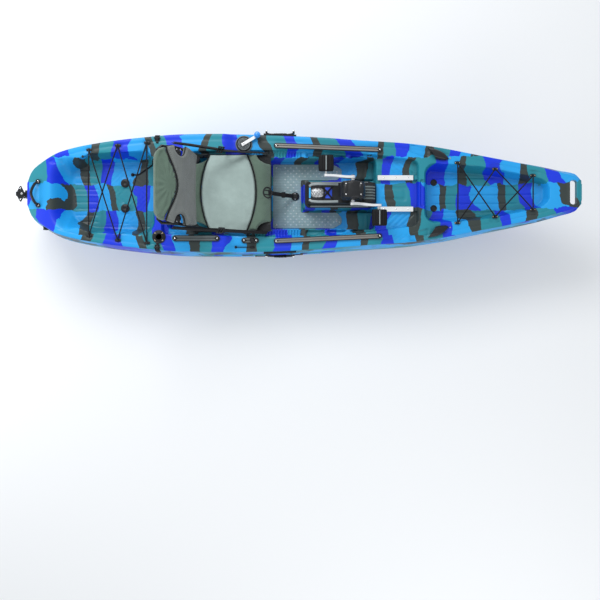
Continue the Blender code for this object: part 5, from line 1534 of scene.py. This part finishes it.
def make_pedal(kit, x, sign, tag):
    """A moulded tread with ridges across it, thicker round its axle."""
    rings = []
    stations = [0.1235, 0.1250, 0.1290, 0.1400, 0.1580, 0.1755, 0.1930, 0.2110, 0.2220, 0.2260,
                0.2275]
    along = np.linspace(-1, 1, 61)
    for y in stations:
        rim = min(y - 0.1225, 0.2285 - y)
        size = min(1.0, (1 - (1 - min(rim / 0.010, 1.0)) ** 2) ** 0.5 * 0.35 + 0.65)
        waist = 1.0 - 0.05 * abs((y - 0.1755) / 0.052) ** 2
        half = 0.050 * waist * (0.5 + 0.5 * size)
        top = []
        for k in along:
            body = 0.0108 * (1 - abs(k) ** 7) ** 0.5 * size + 0.0026 * np.exp(-(k / 0.22) ** 2)
            ridge = 0.0016 * (0.5 + 0.5 * cos(2 * pi * k * 3.5)) * size * (1 - abs(k) ** 9)
            top.append((x + half * k, body + ridge))
        rings.append([(px, sign * y, CRANK_Z + z) for px, z in top]
                     + [(px, sign * y, CRANK_Z - z) for px, z in reversed(top[1:-1])])
    tread = Mold().rings(rings).piece(f"pedal_tread_{tag}", kit["rubber"], f"pedal_{tag}",
                                      "black_plastic", 50)
    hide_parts(f"pedal_{tag}")
    Mold().sweep([(x, sign * y, CRANK_Z + 0.0150) for y in (0.130, 0.150, 0.200, 0.221)],
                 flat(0.0060, 0.0020)).piece(f"pedal_strip_{tag}", kit["grey_light"],
                                             f"pedal_{tag}", "grey_plastic")


BLADE_FACE = 0.0062        # from the rudder blade's middle to its face


def make_dial(kit):
    """Rings and ticks on the steering dial."""
    x0, y0, top = -0.386, 0.325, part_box("steering_dial")[1][2]
    Mold().turned([(x0, y0, sheer(x0))], [(0.0560, 0.0004), (0.0560, 0.0050), (0.0535, 0.0075),
                                          (0.0506, 0.0080), (0.0504, 0.0010)], sides=48) \
        .piece("dial_bezel", kit["grey"], "hull", "grey_plastic")
    mold = Mold()
    for radius in (0.0200, 0.0280, 0.0385):
        mold.sweep([(x0 + radius * cos(a), y0 + radius * sin(a), top + 0.0002)
                    for a in np.linspace(0, 2 * pi, 49)[:-1]], circle(0.0012, 6), closed=True)
    for a in np.radians(np.arange(0, 360, 15)):
        mold.sweep([(x0 + r * cos(a), y0 + r * sin(a), top + 0.0002) for r in (0.031, 0.0365)],
                   flat(0.0022, 0.0012))
    mold.piece("dial_markings", kit["grey_light"], "hull", "grey_plastic")
    screws("lever_screw", [(x0, y0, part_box("steering_lever")[1][2] + 0.0002)], 0.0055,
           kit["bright"], "steering_lever")


def make_rudder(kit):
    """The ribs of the rudder's blade and the nuts of its yoke."""
    ribs = Mold()
    for sign in (-1, 1):
        for z0, x1 in ((0.120, -1.846), (0.060, -1.842), (0.000, -1.800), (-0.060, -1.792)):
            ribs.sweep([(-1.892 + 0.012 * (z0 < 0), sign * BLADE_FACE, z0),
                        (x1, sign * BLADE_FACE, z0 - 0.012)],
                       flat(0.005, 0.0024), up=(0, sign, 0))
        ribs.sweep([(x, sign * BLADE_FACE, z) for x, z in
                    ((-1.893, 0.145), (-1.886, 0.02), (-1.868, -0.110), (-1.845, -0.138),
                     (-1.803, -0.141), (-1.789, -0.125), (-1.786, 0.010))],
                   flat(0.005, 0.0024), up=(0, sign, 0))
    ribs.piece("rudder_blade_ribs", kit["satin"], "rudder_blade", "black_plastic")
    nuts = [(-1.872, s * 0.036, 0.3045) for s in (-1, 1)]
    screws("yoke_nuts", nuts, 0.0058, kit["bright"], "rudder_head")


# ---- carried-over CAD nodes ---------------------------------------------------
def give(mat, *names):
    """Puts a material on CAD nodes."""
    for name in names:
        for old in NODES[name].material_slots:
            old.material = mat


def make_kit():
    """Every material but the hull's, by name."""
    grey = rgb("5E6B6C")
    return {
        "black": plastic("black_moulded", (0.012, 0.013, 0.015), 0.40, shine=0.24),
        "satin": plastic("black_satin", (0.015, 0.016, 0.018), 0.32, 0.06, shine=0.28),
        "rubber": plastic("black_rubber", (0.004, 0.004, 0.005), 0.55, 0.3, 600, 0.2),
        "grey": plastic("grey_moulded", grey, 0.5),
        "grey_light": plastic("grey_satin", rgb("8A9496"), 0.36, 0.08),
        "track": metal("track_anodised", (0.30, 0.29, 0.27), 0.34, share=0.7),
        "track_grey": plastic("track_grey", rgb("565E5F"), 0.45),
        "alloy": metal("brushed_alloy", (0.88, 0.89, 0.90), 0.34, share=0.45),
        "silver_knurl": knurled("silver_knurl", (0.55, 0.56, 0.57)),
        "steel": metal("steel", (0.62, 0.62, 0.63), 0.26, "Z"),
        "bright": metal("bright_steel", (0.92, 0.92, 0.92), 0.18, "Z", 0.05),
        "brass": metal("warm_steel", (0.70, 0.56, 0.38), 0.30, "Z", 0.05),
        "tube": metal("black_anodised", (0.035, 0.038, 0.040), 0.38),
        "web": cloth("webbing_black", (0.010, 0.010, 0.012), ("X", "Z"), 0.0024, sheen=0.04),
        "piping": cloth("piping_black", (0.006, 0.007, 0.008), ("X", "Y"), 0.0012, sheen=0.04),
        "blue": plastic("blue_knob", rgb("2E8BE6"), 0.28, 0.05),
        "royal": plastic("royal_window", rgb("2A4FD8"), 0.34, 0.06),
        "azure": plastic("azure_tab", rgb("3FA9E8"), 0.34, 0.06),
        "olive": cloth("seat_olive", rgb("63796B"), ("X", "Y"), 0.0014),
        "mesh_pan": cloth("seat_mesh_light", rgb("C0D6D1"), ("X", "Y"), 0.0030, 0.45),
        "mesh_back": cloth("seat_mesh_grey", rgb("868C8A"), ("Y", "Z"), 0.0030, 0.45),
        "foam": foam("foot_mat_foam", rgb("99B3B8")),
        "studs": foam("foot_mat_studs", rgb("C4D4D6")),
        "cord": braid("shock_cord", (0.008, 0.008, 0.010), (0.05, 0.055, 0.06)),
    }


def dress_cad_nodes(kit):
    """Materials for the CAD nodes that stay."""
    for name in NODES:
        give(kit["black"], name)
    give(kit["satin"], "drive_base", "propeller", "gearcase", "drive_leg",
         "side_handle_starboard", "side_handle_port", "stern_handle", "rod_hood_port",
         "rod_hood_starboard")
    give(kit["grey_light"], "skeg")
    give(kit["alloy"], "accessory_rail_starboard", "accessory_rail_port",
         "crank_arm_starboard", "crank_arm_port", "steering_lever")
    give(kit["steel"], "crank_axle", "crank_gear", "pedal_axle_starboard", "pedal_axle_port",
         "drive_shaft", "propeller_shaft", "shaft_collar", "rudder_pin", "kick_bolt")
    give(kit["tube"], "seat_frame", "back_frame")
    give(kit["web"], "paddle_keeper_starboard", "paddle_keeper_port")
    give(kit["blue"], "steering_knob")


KIT = make_kit()
make_camera()
make_stage()
make_hull()
dress_cad_nodes(KIT)
for make in (make_seat, make_back, make_straps, make_hold_down, make_tracks, make_rod_hoods,
             make_screws, make_side_grips, make_scupper_shade_rims, make_lashings, make_tether,
             make_paddle_cord, make_toggle, make_paddle_hooks, make_foot_mat, make_drive,
             make_dial, make_rudder):
    make(KIT)
